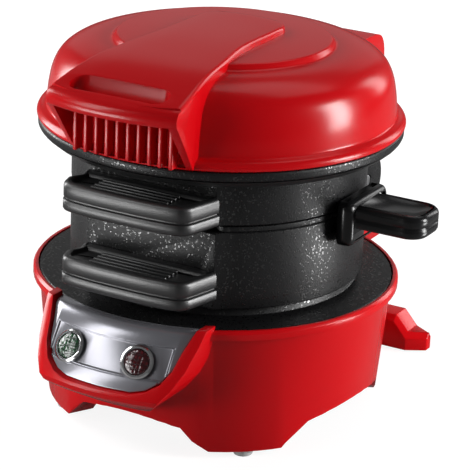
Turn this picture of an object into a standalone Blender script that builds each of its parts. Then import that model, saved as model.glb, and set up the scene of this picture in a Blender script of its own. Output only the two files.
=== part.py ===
"""Hamburger maker: base with control panel, two hinged cooking rings, swing-out egg plate, lid.

Metres, +Z up, the user stands at -Y.  Sizes are laid out round the upright middle line of the
cooking rings.  At the end all pieces are moved so that the middle of the footprint is the origin.
"""

import math

import bmesh
import bpy
from mathutils import Matrix, Vector

# Fits.
gap = 0.0003
hole_play = 0.0003

# How far cutting bodies run past the piece they cut.
overrun_radius = 0.0900
overrun_depth = -0.0100

# Fineness of round shapes.
fine_steps = 72
large_steps = 56
medium_steps = 24
small_steps = 12
smooth_angle = math.radians(32)

# Base shell: (radius, height) pairs of its outer side, from the feet up.
base_outer_side = ((0.0670, 0.0028), (0.0703, 0.0409), (0.0712, 0.0512), (0.0738, 0.0520),
                   (0.0738, 0.0546), (0.0729, 0.0557))
rim_inner_radius = 0.0717
rim_height = 0.0557
deck_ledge_height = 0.0526
deck_ledge_radius = 0.0692
deck_ledge_thickness = 0.0036
ledge_root_radius = 0.0686
wall_inner_side = ((0.0676, 0.0409), (0.0658, 0.0190))
cover_ledge_radius = 0.0500
cover_ledge_top = 0.0190
cover_ledge_bottom = 0.0170
foot_inner_radius = 0.0560
foot_height = 0.0028

# Feet and the arches between them, angles in degrees from +X.
foot_angles = (-131.0, -49.0, 42.0, 138.0)
foot_names = ("front_left", "front_right", "rear_right", "rear_left")
foot_half_angle = 12.5
foot_flank_angle = 9.5
arch_side_height = 0.0124
arch_middle_height = 0.0157
arch_cut_inner = 0.0500
arch_steps = 8
pad_radius = 0.0038
pad_circle = 0.0620
pad_height = 0.0042

# Console in front: a cone that faces up, cut out by outlines seen from the front.
panel_top_edge = ((0.0718, 0.0563), (0.0756, 0.0563), (0.0776, 0.0553))
pocket_inner_radius = 0.0713
pocket_reach = 0.1100
pocket_top = 0.0650
panel_bottom_radius = 0.0913
panel_bottom_height = 0.0330
panel_thickness = 0.0020
panel_frame_width = 0.0017
console_top_side = ((0.0723, 0.0588), (0.0775, 0.0588), (0.0793, 0.0556))
console_chin_steps = ((0.0000, 0.0000), (-0.0008, -0.0022), (-0.0042, -0.0048), (-0.0130, -0.0098))
console_inner_side = ((0.0680, 0.0172), (0.0668, 0.0190), (0.0690, 0.0409), (0.0700, 0.0515),
                      (0.0723, 0.0522))
console_half_outline = ((0.0000, 0.0190), (0.0100, 0.0204), (0.0180, 0.0246), (0.0245, 0.0306),
                        (0.0295, 0.0373), (0.0325, 0.0440), (0.0342, 0.0510), (0.0354, 0.0576))
panel_half_outline = ((0.0000, 0.0343), (0.0140, 0.0345), (0.0195, 0.0358), (0.0245, 0.0391),
                      (0.0276, 0.0440), (0.0292, 0.0505), (0.0318, 0.0580))
panel_groove_low = 0.0395
panel_groove_high = 0.0505
panel_groove_depth = 0.0005
panel_groove_half_width = 0.0255
lamp_room_half_outline = ((0.0000, 0.0360), (0.0140, 0.0364), (0.0190, 0.0374), (0.0230, 0.0400),
                          (0.0254, 0.0445), (0.0256, 0.0508))
lamp_room_near = -0.0560
front_cut_depth = 0.1200

# Lamps: places on the panel as (x, height).
power_lamp_place = (-0.0166, 0.0441)
ready_lamp_place = (0.0136, 0.0446)
lens_radius = 0.0049
lens_collar_radius = 0.0057
lens_rise = 0.0016
lens_depth = 0.0040
lens_collar_height = 0.0009
lens_shoulder_share = 0.60
lens_top_share = 0.90
bezel_slope_share = 0.90
bezel_radius = 0.0066
bezel_height = 0.0011
bulb_radius = 0.0018
bulb_length = 0.0034

# Black deck on the base.
deck_thickness = 0.0027
deck_hole_radius = 0.0473
deck_collar_radius = 0.0560
deck_collar_rise = 0.0029

# Heating plates, elements and shields.
heat_gap = 0.0006
lower_plate_thickness = 0.0040
lower_plate_rise = 0.0018
plate_edge = 0.0010
element_circle = 0.0320
element_radius = 0.0032
element_leg_half_distance = 0.0110
element_leg_radius = 0.0016
element_leg_length = 0.0120
element_steps = 12
shield_thickness = 0.0010
shield_flange_radius = 0.0620
shield_wall_radius = 0.0500
leg_hole_radius = 0.0022
thermostat_radius = 0.0085
thermostat_height = 0.0090
fuse_radius = 0.0022
fuse_length = 0.0220
fuse_place_y = 0.0220
terminal_length = 0.0260
terminal_width = 0.0120
terminal_height = 0.0100
terminal_place_y = 0.0340

# Bottom cover, its screws and its air slots.
cover_thickness = 0.0020
cover_screw_circle = 0.0530
cover_screw_angles = (15.0, 135.0, 255.0)
cover_slot_inner = 0.0180
cover_slot_outer = 0.0400
cover_slot_half_width = 0.0020
cover_slot_angles = (-60.0, 0.0, 60.0, 120.0, 180.0, 240.0)
screw_radius = 0.0013
screw_head_radius = 0.0026
screw_head_height = 0.0014
screw_shank_start_share = 0.48
screw_head_room = 0.0011
cover_screw_length = 0.0052

# Hinge: one cross axis behind the rings.
axis_y = 0.0798
axis_z = 0.0740
barrel_radius = 0.0125
pin_radius = 0.0025
pin_half_length = 0.0283
post_half_width = 0.0087
lower_lug_inner = 0.0091
lower_lug_outer = 0.0153
lid_arm_inner = 0.0157
lid_arm_outer = 0.0220
upper_lug_inner = 0.0224
upper_lug_outer = 0.0285
barrel_steps = 32

# Red bracket behind the base that carries the hinge.
bracket_cheek_inner = 0.0228
bracket_cheek_outer = 0.0285
bracket_cheek_side = ((0.0600, 0.0456), (0.0940, 0.0456), (0.0940, 0.0570), (0.0915, 0.0605),
                      (0.0735, 0.0605), (0.0700, 0.0560), (0.0600, 0.0560))
bracket_middle_side = ((0.0600, 0.0456), (0.0790, 0.0456), (0.0755, 0.0560), (0.0600, 0.0560))
post_foot = ((0.0730, 0.0470), (0.0840, 0.0470))
bracket_root_radius = 0.0698
bracket_root_rim_radius = 0.0722
bracket_root_rim_height = 0.0523
bracket_root_low = 0.0400
bracket_root_top = 0.0565
gland_radius = 0.0045
gland_place_x = 0.0400
gland_place_z = 0.0300
gland_hole_near = 0.0400
gland_hole_far = 0.0800

# Rear foot: a cross bar behind the base with ramps to flat ends, and a tail under the base.
bar_near = 0.0808
bar_depth = 0.0142
bar_bottom = 0.0006
bar_ridge_height = 0.0152
bar_end_height = 0.0085
bar_ridge_half = 0.0440
bar_ramp_half = 0.0500
bar_end_half = 0.0580
bar_end_corner = 0.0050
bar_top_edge = 0.0025
tail_half_width = 0.0140
tail_near = 0.0300
tail_thickness = 0.0040
tail_screw_x = 0.0080
tail_screw_y = 0.0380
tail_screw_length = 0.0076

# Cooking rings.
bore_radius = 0.0490
liner_thickness = 0.0010
ring_radius = 0.0590
ring_flat_y = -0.0532
ring_flat_half = 0.0285
ring_corner_turn = 3.0
ring_edge = 0.0006
lower_ring_bottom = 0.0588
lower_ring_top = 0.0902
upper_ring_bottom = 0.0926
upper_ring_top = 0.1112
liner_inset = 0.0003
lug_near = 0.0510
lug_far = 0.0615
lower_lug_low = 0.0620
lower_lug_high = 0.0880
upper_lug_low = 0.0930
upper_lug_high = 0.1085

# Ring handles.
handle_front_y = -0.0736
handle_front_half = 0.0257
handle_rear_half = 0.0300
handle_corner = 0.0050
lower_handle_bottom = 0.0632
upper_handle_bottom = 0.0931
handle_height = 0.0115
handle_groove_low_share = 0.40
handle_groove_high_share = 0.48
handle_groove_depth = 0.0010
handle_edge = 0.0011
handle_screw_x = 0.0200
handle_screw_head_y = -0.0480
handle_screw_length = 0.0140
handle_screw_room_y = -0.0380

# Egg plate: a thin disc with a band out to the ring's outer side, turning on an upright pin.
plate_thickness = 0.0018
plate_disc_radius = 0.0513
plate_band_radius = 0.0587
plate_band_start = -56.6
plate_web_angles = (-60.8, -57.6, -54.4)
plate_web_radius = 0.0549
plate_band_end = 74.0
plate_pivot_radius = 0.0555
plate_pivot_angle = -58.0
plate_lug_radius = 0.0035
spacer_inner_radius = 0.0519
spacer_start = 116.0
spacer_end = 289.0
spacer_steps = 30
pivot_pin_radius = 0.0019
pivot_head_radius = 0.0024
pivot_head_height = 0.0008
pivot_pin_rise = 0.0077

# Egg plate handle.
root_near = 0.0605
root_far = 0.0665
root_front = -0.0150
root_rear = 0.0175
root_bottom = 0.0802
root_top = 0.0980
grip_half = 0.0114
grip_bottom = 0.0869
grip_top = 0.0964
grip_tip = 0.0940
grip_corner = 0.0080
grip_edge = 0.0014
tab_half = 0.0088
tab_tip = 0.0730
tab_near = 0.0500
grip_screw_x = 0.0700
grip_screw_y = 0.0052
grip_screw_head = 0.0875
grip_screw_length = 0.0070

# Lid: (radius, height) pairs of its outer side, from the middle of the top down.
lid_outer_side = ((0.0442, 0.1515), (0.0461, 0.1506), (0.0475, 0.1491), (0.0570, 0.1477), (0.0618, 0.1454),
                  (0.0656, 0.1420), (0.0679, 0.1368), (0.0689, 0.1302), (0.0694, 0.1235), (0.0705, 0.1216),
                  (0.0725, 0.1190), (0.0730, 0.1169), (0.0725, 0.1145))
lid_wall = 0.0025
lid_foot_inner_radius = 0.0699
lid_foot_inner_height = 0.1185
lid_envelope_bottom = 0.1000
lid_boss_angles = (-150.0, -30.0, 90.0)
lid_boss_circle = 0.0590
lid_boss_radius = 0.0042
lid_boss_top = 0.1430
lid_screw_length = 0.0090

# Hump and arms at the rear of the lid, side view as (y, z).
hump_half_width = 0.0290
hump_side = ((0.0550, 0.1150), (0.0550, 0.1392), (0.0800, 0.1385), (0.0845, 0.1360), (0.0868, 0.1310),
             (0.0873, 0.1220), (0.0866, 0.1150))
hump_inner_half = 0.0265
hump_inner_side = ((0.0500, 0.1100), (0.0500, 0.1365), (0.0800, 0.1360), (0.0830, 0.1330), (0.0845, 0.1290),
                   (0.0848, 0.1100))
hump_wall_share = 0.5
arm_top_near = 0.0722
arm_top_far = 0.0810
arm_top = 0.1372

# Raised strip on the lid: rows of (y, half width, top height) from the rear to the front.
strip_rows = ((0.0219, 0.0090, 0.1546), (0.0205, 0.0140, 0.1548), (0.0170, 0.0175, 0.1549),
              (0.0120, 0.0190, 0.1549), (-0.0190, 0.0192, 0.1549), (-0.0475, 0.0237, 0.1529),
              (-0.0570, 0.0250, 0.1520), (-0.0732, 0.0272, 0.1482), (-0.0850, 0.0278, 0.1446),
              (-0.0872, 0.0272, 0.1428))
strip_edge = 0.0012
strip_bottom = 0.1172
strip_front_side = ((0.0740, 0.1100), (0.0740, 0.1172), (0.0884, 0.1400), (0.0920, 0.1430), (0.0920, 0.1700))
slot_half_width = 0.0200
slot_front = -0.0817
slot_rear = -0.0695
slot_low = 0.1330
slot_high = 0.1600
grip_room_half_width = 0.0240
grip_room_wall = 0.0045
grip_room_inner = 0.0600
grip_room_bottom = 0.1260
grip_room_top = 0.1405
insert_top = 0.1310

# Grille of upright ribs under the strip's front lip.
grille_ribs = 10
grille_pitch = 0.0046
grille_rib_width = 0.0017
grille_low = 0.1212
grille_high = 0.1350
grille_frame_depth = 0.0008
grille_depth = 0.0026

# Black bezel under the lid and the upper heating plate.
bezel_ring_radius = 0.0717
bezel_ring_foot_radius = 0.0684
bezel_ring_top = 0.1142
bezel_ring_bottom = 0.1115
bezel_ring_floor = 0.1146
bezel_ring_hole = 0.0463
bezel_lip_radius = 0.0678
bezel_lip_inner = 0.0660
bezel_lip_top = 0.1175
lid_screw_head = 0.1118
upper_plate_bottom = 0.1094
upper_plate_flange_radius = 0.0485
upper_plate_flange_thickness = 0.0020
upper_shield_radius = 0.0460

# Colours as (red, green, blue).
colours = {
    "red_gloss": (0.55, 0.01, 0.02),
    "black_plastic": (0.02, 0.02, 0.022),
    "black_metal": (0.035, 0.035, 0.037),
    "satin_grey": (0.16, 0.16, 0.18),
    "bare_steel": (0.60, 0.60, 0.60),
    "bright_metal": (0.75, 0.75, 0.76),
    "dark_coating": (0.05, 0.05, 0.05),
    "green_lens": (0.05, 0.25, 0.10),
    "red_lens": (0.25, 0.01, 0.02),
    "clear_glass": (0.80, 0.82, 0.80),
    "pale_rubber": (0.50, 0.50, 0.50),
    "white_ceramic": (0.80, 0.78, 0.74),
}
metal_names = ("black_metal", "bare_steel", "bright_metal")
metal_roughness = 0.30
plain_roughness = 0.45


def clear_file():
    for thing in list(bpy.data.objects):
        bpy.data.objects.remove(thing, do_unlink=True)


def make_materials():
    made = {}
    for name, colour in colours.items():
        material = bpy.data.materials.new(name)
        material.use_nodes = True
        shader = material.node_tree.nodes["Principled BSDF"]
        shader.inputs["Base Color"].default_value = (*colour, 1.0)
        is_metal = name in metal_names
        shader.inputs["Metallic"].default_value = 1.0 if is_metal else 0.0
        shader.inputs["Roughness"].default_value = metal_roughness if is_metal else plain_roughness
        made[name] = material
    return made


def solid(name, points, faces):
    """Object with the given closed faces, all of them turned outwards."""
    mesh = bpy.data.meshes.new(name)
    mesh.from_pydata([tuple(point) for point in points], [], faces)
    shape = bmesh.new()
    shape.from_mesh(mesh)
    bmesh.ops.recalc_face_normals(shape, faces=shape.faces)
    if shape.calc_volume(signed=True) < 0:
        bmesh.ops.reverse_faces(shape, faces=shape.faces)
    shape.to_mesh(mesh)
    shape.free()
    thing = bpy.data.objects.new(name, mesh)
    bpy.context.scene.collection.objects.link(thing)
    return thing


def revolve(name, side, steps=large_steps):
    """Closed body of revolution about the upright middle line, from (radius, height) pairs."""
    points = []
    rows = []
    for radius, height in side:
        if radius == 0:
            rows.append([len(points)] * steps)
            points.append((0, 0, height))
            continue
        rows.append([len(points) + step for step in range(steps)])
        for step in range(steps):
            turn = 2 * math.pi * step / steps
            points.append((radius * math.cos(turn), radius * math.sin(turn), height))
    faces = []
    for here, there in zip(rows, rows[1:] + rows[:1]):
        for step in range(steps):
            after = (step + 1) % steps
            corners = []
            for corner in (here[step], here[after], there[after], there[step]):
                if corner not in corners:
                    corners.append(corner)
            if len(corners) > 2:
                faces.append(corners)
    return solid(name, points, faces)


def loft(name, rows):
    """Closed body through rows of points, each row one section in the same order."""
    count = len(rows[0])
    points = [point for row in rows for point in row]
    faces = [list(range(count)), list(range(len(points) - count, len(points)))]
    for level in range(len(rows) - 1):
        start = level * count
        for index in range(count):
            after = (index + 1) % count
            faces.append((start + index, start + after, start + count + after, start + count + index))
    return solid(name, points, faces)


def slab(name, outline, levels):
    """Upright body: outline(inset) gives the plan, levels are (height, inset) pairs."""
    return loft(name, [[(x, y, height) for x, y in outline(inset)] for height, inset in levels])


def side_prism(name, side, left, right):
    """Body with the given (y, z) side view between two values of x."""
    return loft(name, [[(x, y, z) for y, z in side] for x in (left, right)])


def front_prism(name, front, near, far):
    """Body with the given (x, z) front view between two values of y."""
    return loft(name, [[(x, y, z) for x, z in front] for y in (near, far)])


def block(name, low, high):
    side = ((low[1], low[2]), (high[1], low[2]), (high[1], high[2]), (low[1], high[2]))
    return side_prism(name, side, low[0], high[0])


def rod(name, radius, start, end, steps=small_steps, end_radius=None):
    """Round bar between two points, with its own radius at the far end if one is given."""
    start = Vector(start)
    end = Vector(end)
    turn = Vector((0, 0, 1)).rotation_difference(end - start)
    rows = []
    for place, size in ((start, radius), (end, radius if end_radius is None else end_radius)):
        row = []
        for step in range(steps):
            angle = 2 * math.pi * step / steps
            row.append(place + turn @ Vector((size * math.cos(angle), size * math.sin(angle), 0)))
        rows.append(row)
    return loft(name, rows)


def turned(thing, start, end):
    """Move a body made on the upright middle line so that its foot is at start and it points to end."""
    direction = Vector(end) - Vector(start)
    turn = Vector((0, 0, 1)).rotation_difference(direction).to_matrix().to_4x4()
    thing.data.transform(Matrix.Translation(Vector(start)) @ turn)
    return thing


def combine(thing, other, operation):
    modifier = thing.modifiers.new("combine", "BOOLEAN")
    modifier.operation = operation
    modifier.solver = "EXACT"
    modifier.object = other
    bpy.context.view_layer.update()
    graph = bpy.context.evaluated_depsgraph_get()
    result = bpy.data.meshes.new_from_object(thing.evaluated_get(graph))
    thing.modifiers.remove(modifier)
    thing.data = result
    bpy.data.objects.remove(other, do_unlink=True)
    return thing


def cut(thing, other):
    return combine(thing, other, "DIFFERENCE")


def add(thing, other):
    return combine(thing, other, "UNION")


def keep(thing, other):
    return combine(thing, other, "INTERSECT")


def mirrored(half):
    """Full outline from the half with x at or above zero, which starts on the middle line."""
    return [(-x, z) for x, z in reversed(half[1:])] + list(half)


def bent_block(name, angles, inner, outer, bottom, tops):
    """Part of a ring between the first and last angle, with its own top height at each angle."""
    rows = []
    for angle, top in zip(angles, tops):
        turn = math.radians(angle)
        rows.append([(radius * math.cos(turn), radius * math.sin(turn), height)
                     for radius, height in ((inner, bottom), (outer, bottom), (outer, top), (inner, top))])
    return loft(name, rows)


def on_circle(radius, angle, height=0):
    turn = math.radians(angle)
    return Vector((radius * math.cos(turn), radius * math.sin(turn), height))


def hull(points):
    """Convex outline round flat points, anticlockwise."""
    ordered = sorted(set(points))

    def chain(sequence):
        kept = []
        for point in sequence:
            while len(kept) > 1:
                first = Vector(kept[-1]) - Vector(kept[-2])
                second = Vector(point) - Vector(kept[-1])
                if first.x * second.y - first.y * second.x > 0:
                    break
                kept.pop()
            kept.append(point)
        return kept[:-1]

    return chain(ordered) + chain(ordered[::-1])


def barrel_side(other_points):
    """Side view of the hinge barrel together with further (y, z) points."""
    circle = [(axis_y + barrel_radius * math.cos(2 * math.pi * step / barrel_steps),
               axis_z + barrel_radius * math.sin(2 * math.pi * step / barrel_steps))
              for step in range(barrel_steps)]
    return hull(circle + list(other_points))


def drill_hinge(thing):
    reach = upper_lug_outer + barrel_radius
    hole = pin_radius + hole_play
    return cut(thing, rod("hole", hole, (-reach, axis_y, axis_z), (reach, axis_y, axis_z), medium_steps))


def screw(name, head, tip):
    """Screw with a round head at the first point and a shank that ends at the second."""
    head = Vector(head)
    tip = Vector(tip)
    under = head + (tip - head).normalized() * screw_head_height
    body = rod(name, screw_head_radius, head, under)
    middle = head.lerp(under, screw_shank_start_share)
    return add(body, rod("shank", screw_radius, middle, tip))


def drill_screw(thing, head, tip, head_room=0):
    """Hole for the shank and, from the given distance before the head, room for the head."""
    head = Vector(head)
    tip = Vector(tip)
    along = (tip - head).normalized()
    cut(thing, rod("hole", screw_radius + hole_play, head - along * gap, tip + along * hole_play))
    if head_room:
        under = head + along * (screw_head_height + gap)
        cut(thing, rod("room", screw_head_radius + hole_play, head - along * head_room, under))
    return thing


def ring_outline(inset):
    """Plan of a cooking ring: a circle with a flat front that has upright corners."""
    outline = [(ring_flat_half - inset, ring_flat_y + inset)]
    start = math.degrees(math.atan2(ring_flat_y, ring_flat_half)) + ring_corner_turn
    for step in range(large_steps + 1):
        angle = start + (180 - 2 * start) * step / large_steps
        outline.append(tuple(on_circle(ring_radius - inset, angle))[:2])
    outline.append((-ring_flat_half + inset, ring_flat_y + inset))
    return outline


def rounded_outline(corners, radius, steps=5):
    """Plan with each of the given corners rounded."""
    outline = []
    count = len(corners)
    for index in range(count):
        here = Vector(corners[index])
        before = (Vector(corners[index - 1]) - here).normalized()
        after = (Vector(corners[(index + 1) % count]) - here).normalized()
        half = before.angle(after) / 2
        middle = here + (before + after).normalized() * (radius / math.sin(half))
        first = here + before * (radius / math.tan(half)) - middle
        last = here + after * (radius / math.tan(half)) - middle
        turn = first.angle_signed(last)
        for step in range(steps + 1):
            angle = -turn * step / steps
            spoke = Vector((first.x * math.cos(angle) - first.y * math.sin(angle),
                            first.x * math.sin(angle) + first.y * math.cos(angle)))
            outline.append(tuple(middle + spoke))
    return outline


def handle_outline(inset):
    """Plan of a ring handle, wider at the ring than at its front edge."""
    rear_y = ring_flat_y - gap
    corners = [(handle_rear_half - inset, rear_y), (-handle_rear_half + inset, rear_y),
               (-handle_front_half + inset, handle_front_y + inset),
               (handle_front_half - inset, handle_front_y + inset)]
    rounded = rounded_outline(corners, handle_corner - inset)
    per_corner = len(rounded) // len(corners)
    return corners[:2] + rounded[2 * per_corner:]


def round_end_bar(inset):
    """Plan of the egg plate's grip with its rounded tip."""
    corners = [(root_far - gap, -grip_half + inset), (grip_tip - inset, -grip_half + inset),
               (grip_tip - inset, grip_half - inset), (root_far - gap, grip_half - inset)]
    rounded = rounded_outline(corners, grip_corner - inset)
    per_corner = len(rounded) // len(corners)
    return [corners[0]] + rounded[per_corner:3 * per_corner] + [corners[3]]


finished = []


def finish(thing, body, material):
    """Give a finished piece its material and shading and note the body it belongs to."""
    thing.data.materials.clear()
    thing.data.materials.append(materials[material])
    thing.data.shade_smooth()
    thing.data.set_sharp_from_angle(angle=smooth_angle)
    finished.append((thing, body))
    return thing


clear_file()
materials = make_materials()

# Slope of the panel and the way it faces.
panel_edge_radius, panel_edge_height = panel_top_edge[-1]
panel_lean = (panel_bottom_radius - panel_edge_radius) / (panel_edge_height - panel_bottom_height)
lean_length = math.hypot(1, panel_lean)
face_out = 1 / lean_length
face_up = panel_lean / lean_length


def panel_radius(height):
    return panel_bottom_radius + (panel_bottom_height - height) * panel_lean


def panel_side(depth):
    """Side view of the panel's face, moved inwards by the given depth."""
    first_radius, first_height = panel_top_edge[0]
    second_radius, second_height = panel_top_edge[1]
    return [(first_radius, first_height - depth), (second_radius - depth * face_up, second_height - depth),
            (panel_edge_radius - depth * face_out, panel_edge_height - depth * face_up),
            (panel_bottom_radius - depth * face_out, panel_bottom_height - depth * face_up)]


def lamp_frame(place):
    """Point on the panel's face at the given (x, height) and the way the face looks there."""
    x, height = place
    radius = panel_radius(height)
    y = -math.sqrt(radius * radius - x * x)
    return Vector((x, y, height)), Vector((x / radius * face_out, y / radius * face_out, face_up))


def widened(half, by):
    """Half outline with its side moved outwards by the given amount and its foot lowered by it."""
    return [(x + by if x else x, height - by) for x, height in half]


# Base shell with its feet and arches.
shell_side = list(base_outer_side) + [(rim_inner_radius, rim_height), (rim_inner_radius, deck_ledge_height),
                                      (deck_ledge_radius, deck_ledge_height)]
shell_side += [(ledge_root_radius, deck_ledge_height - deck_ledge_thickness)] + list(wall_inner_side)
shell_side += [(cover_ledge_radius, cover_ledge_top), (cover_ledge_radius, cover_ledge_bottom),
               (foot_inner_radius, cover_ledge_bottom), (foot_inner_radius, foot_height)]
base_shell = revolve("base_shell", shell_side, fine_steps)
feet = sorted(foot_angles)
for here, there in zip(feet, feet[1:] + [feet[0] + 360]):
    low_start = here + foot_half_angle
    low_end = there - foot_half_angle
    start = low_start + foot_flank_angle
    end = low_end - foot_flank_angle
    angles = [low_start]
    tops = [foot_height]
    for step in range(arch_steps + 1):
        share = step / arch_steps
        angles.append(start + (end - start) * share)
        tops.append(arch_side_height + (arch_middle_height - arch_side_height) * math.sin(math.pi * share))
    angles.append(low_end)
    tops.append(foot_height)
    cut(base_shell, bent_block("arch", angles, arch_cut_inner, overrun_radius, overrun_depth, tops))

# Console with its raised frame, the pocket of the panel and the room of the lamps.
chin_radius = panel_bottom_radius + panel_frame_width
chin_side = [(chin_radius + out, panel_bottom_height + up) for out, up in console_chin_steps]
console = revolve("console", list(console_top_side) + chin_side + list(console_inner_side), fine_steps)
keep(console, front_prism("outline", mirrored(console_half_outline), -front_cut_depth, 0))
add(base_shell, console)
pocket_floor = panel_side(panel_thickness + gap)
pocket_side = [(pocket_inner_radius, pocket_top), (pocket_inner_radius, pocket_floor[0][1])]
pocket_side += pocket_floor + [(pocket_reach, pocket_floor[-1][1]), (pocket_reach, pocket_top)]
pocket = revolve("pocket", pocket_side, fine_steps)
keep(pocket, front_prism("outline", mirrored(widened(panel_half_outline, gap) + [
    (panel_half_outline[-1][0] + gap, pocket_top)]), -front_cut_depth, 0))
cut(base_shell, pocket)
cut(base_shell, front_prism("room", mirrored(lamp_room_half_outline), -front_cut_depth, lamp_room_near))

# Rear bracket: two cheeks, the middle between them and the post round the hinge pin.
bracket = side_prism("bracket", bracket_middle_side, -bracket_cheek_outer, bracket_cheek_outer)
for side in (-1, 1):
    add(bracket, side_prism("cheek", bracket_cheek_side, side * bracket_cheek_inner,
                            side * bracket_cheek_outer))
add(bracket, side_prism("post", barrel_side(post_foot), -post_half_width, post_half_width))
cut(bracket, revolve("root", [(0, bracket_root_low), (bracket_root_radius, bracket_root_low),
                              (bracket_root_radius, bracket_root_rim_height),
                              (bracket_root_rim_radius, bracket_root_rim_height),
                              (bracket_root_rim_radius, bracket_root_top), (0, bracket_root_top)],
                     fine_steps))
add(base_shell, bracket)
drill_hinge(base_shell)
cut(base_shell, rod("gland_hole", gland_radius, (gland_place_x, gland_hole_near, gland_place_z),
                    (gland_place_x, gland_hole_far, gland_place_z), medium_steps))

# Foot pads in their pockets.
for angle, name in zip(foot_angles, foot_names):
    middle = on_circle(pad_circle, angle)
    room = rod("room", pad_radius + gap, on_circle(pad_circle, angle, overrun_depth),
               on_circle(pad_circle, angle, pad_height + gap), small_steps)
    cut(base_shell, room)
    pad = rod("foot_pad_" + name, pad_radius, middle, on_circle(pad_circle, angle, pad_height), small_steps)
    finish(pad, "base", "pale_rubber")

# Bottom cover with air slots; the tail of the rear foot and the cover's screws go in from below.
cover_top = cover_ledge_bottom - gap
cover_bottom = cover_top - cover_thickness
bottom_cover = revolve("bottom_cover", [(0, cover_bottom), (foot_inner_radius - gap, cover_bottom),
                                        (foot_inner_radius - gap, cover_top), (0, cover_top)])
for angle in cover_slot_angles:
    slot = block("slot", (cover_slot_inner, -cover_slot_half_width, 0),
                 (cover_slot_outer, cover_slot_half_width, cover_ledge_top))
    slot.data.transform(Matrix.Rotation(math.radians(angle), 4, "Z"))
    cut(bottom_cover, slot)
for index, angle in enumerate(cover_screw_angles):
    head = on_circle(cover_screw_circle, angle, cover_bottom - gap - screw_head_height)
    tip = on_circle(cover_screw_circle, angle, head.z + cover_screw_length)
    finish(screw("base_screw_%d" % (index + 1), head, tip), "base", "bare_steel")
    drill_screw(bottom_cover, head, tip)
    drill_screw(base_shell, head, tip)

tail_top = cover_bottom - gap
tail_bottom = tail_top - tail_thickness
bar_far = bar_near + bar_depth
bar_rows = []
bar_stations = ((-bar_end_half, bar_end_height, bar_end_corner), (-bar_ramp_half, bar_end_height, 0),
                (-bar_ridge_half, bar_ridge_height, 0), (bar_ridge_half, bar_ridge_height, 0),
                (bar_ramp_half, bar_end_height, 0), (bar_end_half, bar_end_height, bar_end_corner))
for x, height, corner in bar_stations:
    near = bar_near + corner
    far = bar_far - corner
    bar_rows.append([(x, near, bar_bottom), (x, far, bar_bottom), (x, far, height - bar_top_edge),
                     (x, far - bar_top_edge, height), (x, near + bar_top_edge, height),
                     (x, near, height - bar_top_edge)])
rear_foot = loft("rear_foot", bar_rows)
add(rear_foot, block("tail", (-tail_half_width, tail_near, tail_bottom),
                     (tail_half_width, (bar_near + bar_far) / 2, tail_top)))
for side, name in ((-1, "left"), (1, "right")):
    head = Vector((side * tail_screw_x, tail_screw_y, tail_bottom - gap - screw_head_height))
    tip = head + Vector((0, 0, tail_screw_length))
    finish(screw("rear_foot_screw_" + name, head, tip), "base", "bare_steel")
    drill_screw(rear_foot, head, tip)
    drill_screw(bottom_cover, head, tip)
finish(rear_foot, "base", "red_gloss")
finish(bottom_cover, "base", "black_plastic")
finish(base_shell, "base", "red_gloss")

# Control panel with its sunk middle field.
panel_back = panel_side(panel_thickness)
panel_face = panel_side(0)
control_panel = revolve("control_panel", panel_face + panel_back[::-1], fine_steps)
keep(control_panel, front_prism("outline", mirrored(panel_half_outline), -front_cut_depth, 0))
field_depth = panel_groove_depth * lean_length
field = revolve("field", [(panel_radius(panel_groove_low) - field_depth, panel_groove_low),
                          (pocket_reach, panel_groove_low), (pocket_reach, panel_groove_high),
                          (panel_radius(panel_groove_high) - field_depth, panel_groove_high)], fine_steps)
keep(field, block("field_width", (-panel_groove_half_width, -front_cut_depth, 0),
                  (panel_groove_half_width, 0, pocket_top)))
cut(control_panel, field)

# Two lamps: lens through the panel, bright bezel on it, bulb behind it.
for name, place, lens_colour in (("power", power_lamp_place, "green_lens"),
                                 ("ready", ready_lamp_place, "red_lens")):
    face, outwards = lamp_frame(place)
    hole = lens_radius + gap
    inside = face - outwards * lens_collar_radius
    cut(control_panel, rod("hole", hole, inside, face + outwards * lens_collar_radius, medium_steps))
    collar_top = -panel_thickness - gap
    collar_bottom = collar_top - lens_collar_height
    lens = revolve(name + "_lamp_lens", [(0, -lens_depth), (lens_radius, -lens_depth),
                                         (lens_radius, collar_bottom), (lens_collar_radius, collar_bottom),
                                         (lens_collar_radius, collar_top), (lens_radius, collar_top),
                                         (lens_radius, lens_rise * lens_shoulder_share),
                                         (lens_radius * lens_shoulder_share, lens_rise * lens_top_share),
                                         (0, lens_rise)], medium_steps)
    finish(turned(lens, face, face + outwards), "base", lens_colour)
    bezel = revolve(name + "_lamp_bezel", [(hole, gap), (bezel_radius, gap),
                                           (bezel_radius, bezel_height * lens_shoulder_share),
                                           (bezel_radius * bezel_slope_share, bezel_height),
                                           (hole, bezel_height)], medium_steps)
    finish(turned(bezel, face, face + outwards), "base", "bright_metal")
    start = face - outwards * (lens_depth + gap)
    finish(rod(name + "_lamp_bulb", bulb_radius, start - outwards * bulb_length, start), "base",
           "clear_glass")
finish(control_panel, "base", "satin_grey")

# Black deck with the collar that the lower ring rests on.
deck_bottom = deck_ledge_height + gap
deck_top = deck_bottom + deck_thickness
deck_radius = rim_inner_radius - gap
deck_collar_top = deck_top + deck_collar_rise
base_deck = revolve("base_deck", [(deck_hole_radius, deck_bottom), (deck_radius, deck_bottom),
                                  (deck_radius, deck_top - ring_edge), (deck_radius - ring_edge, deck_top),
                                  (deck_collar_radius + plate_edge, deck_top),
                                  (deck_collar_radius, deck_collar_top),
                                  (deck_hole_radius, deck_collar_top)], fine_steps)
finish(base_deck, "base", "black_metal")

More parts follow.
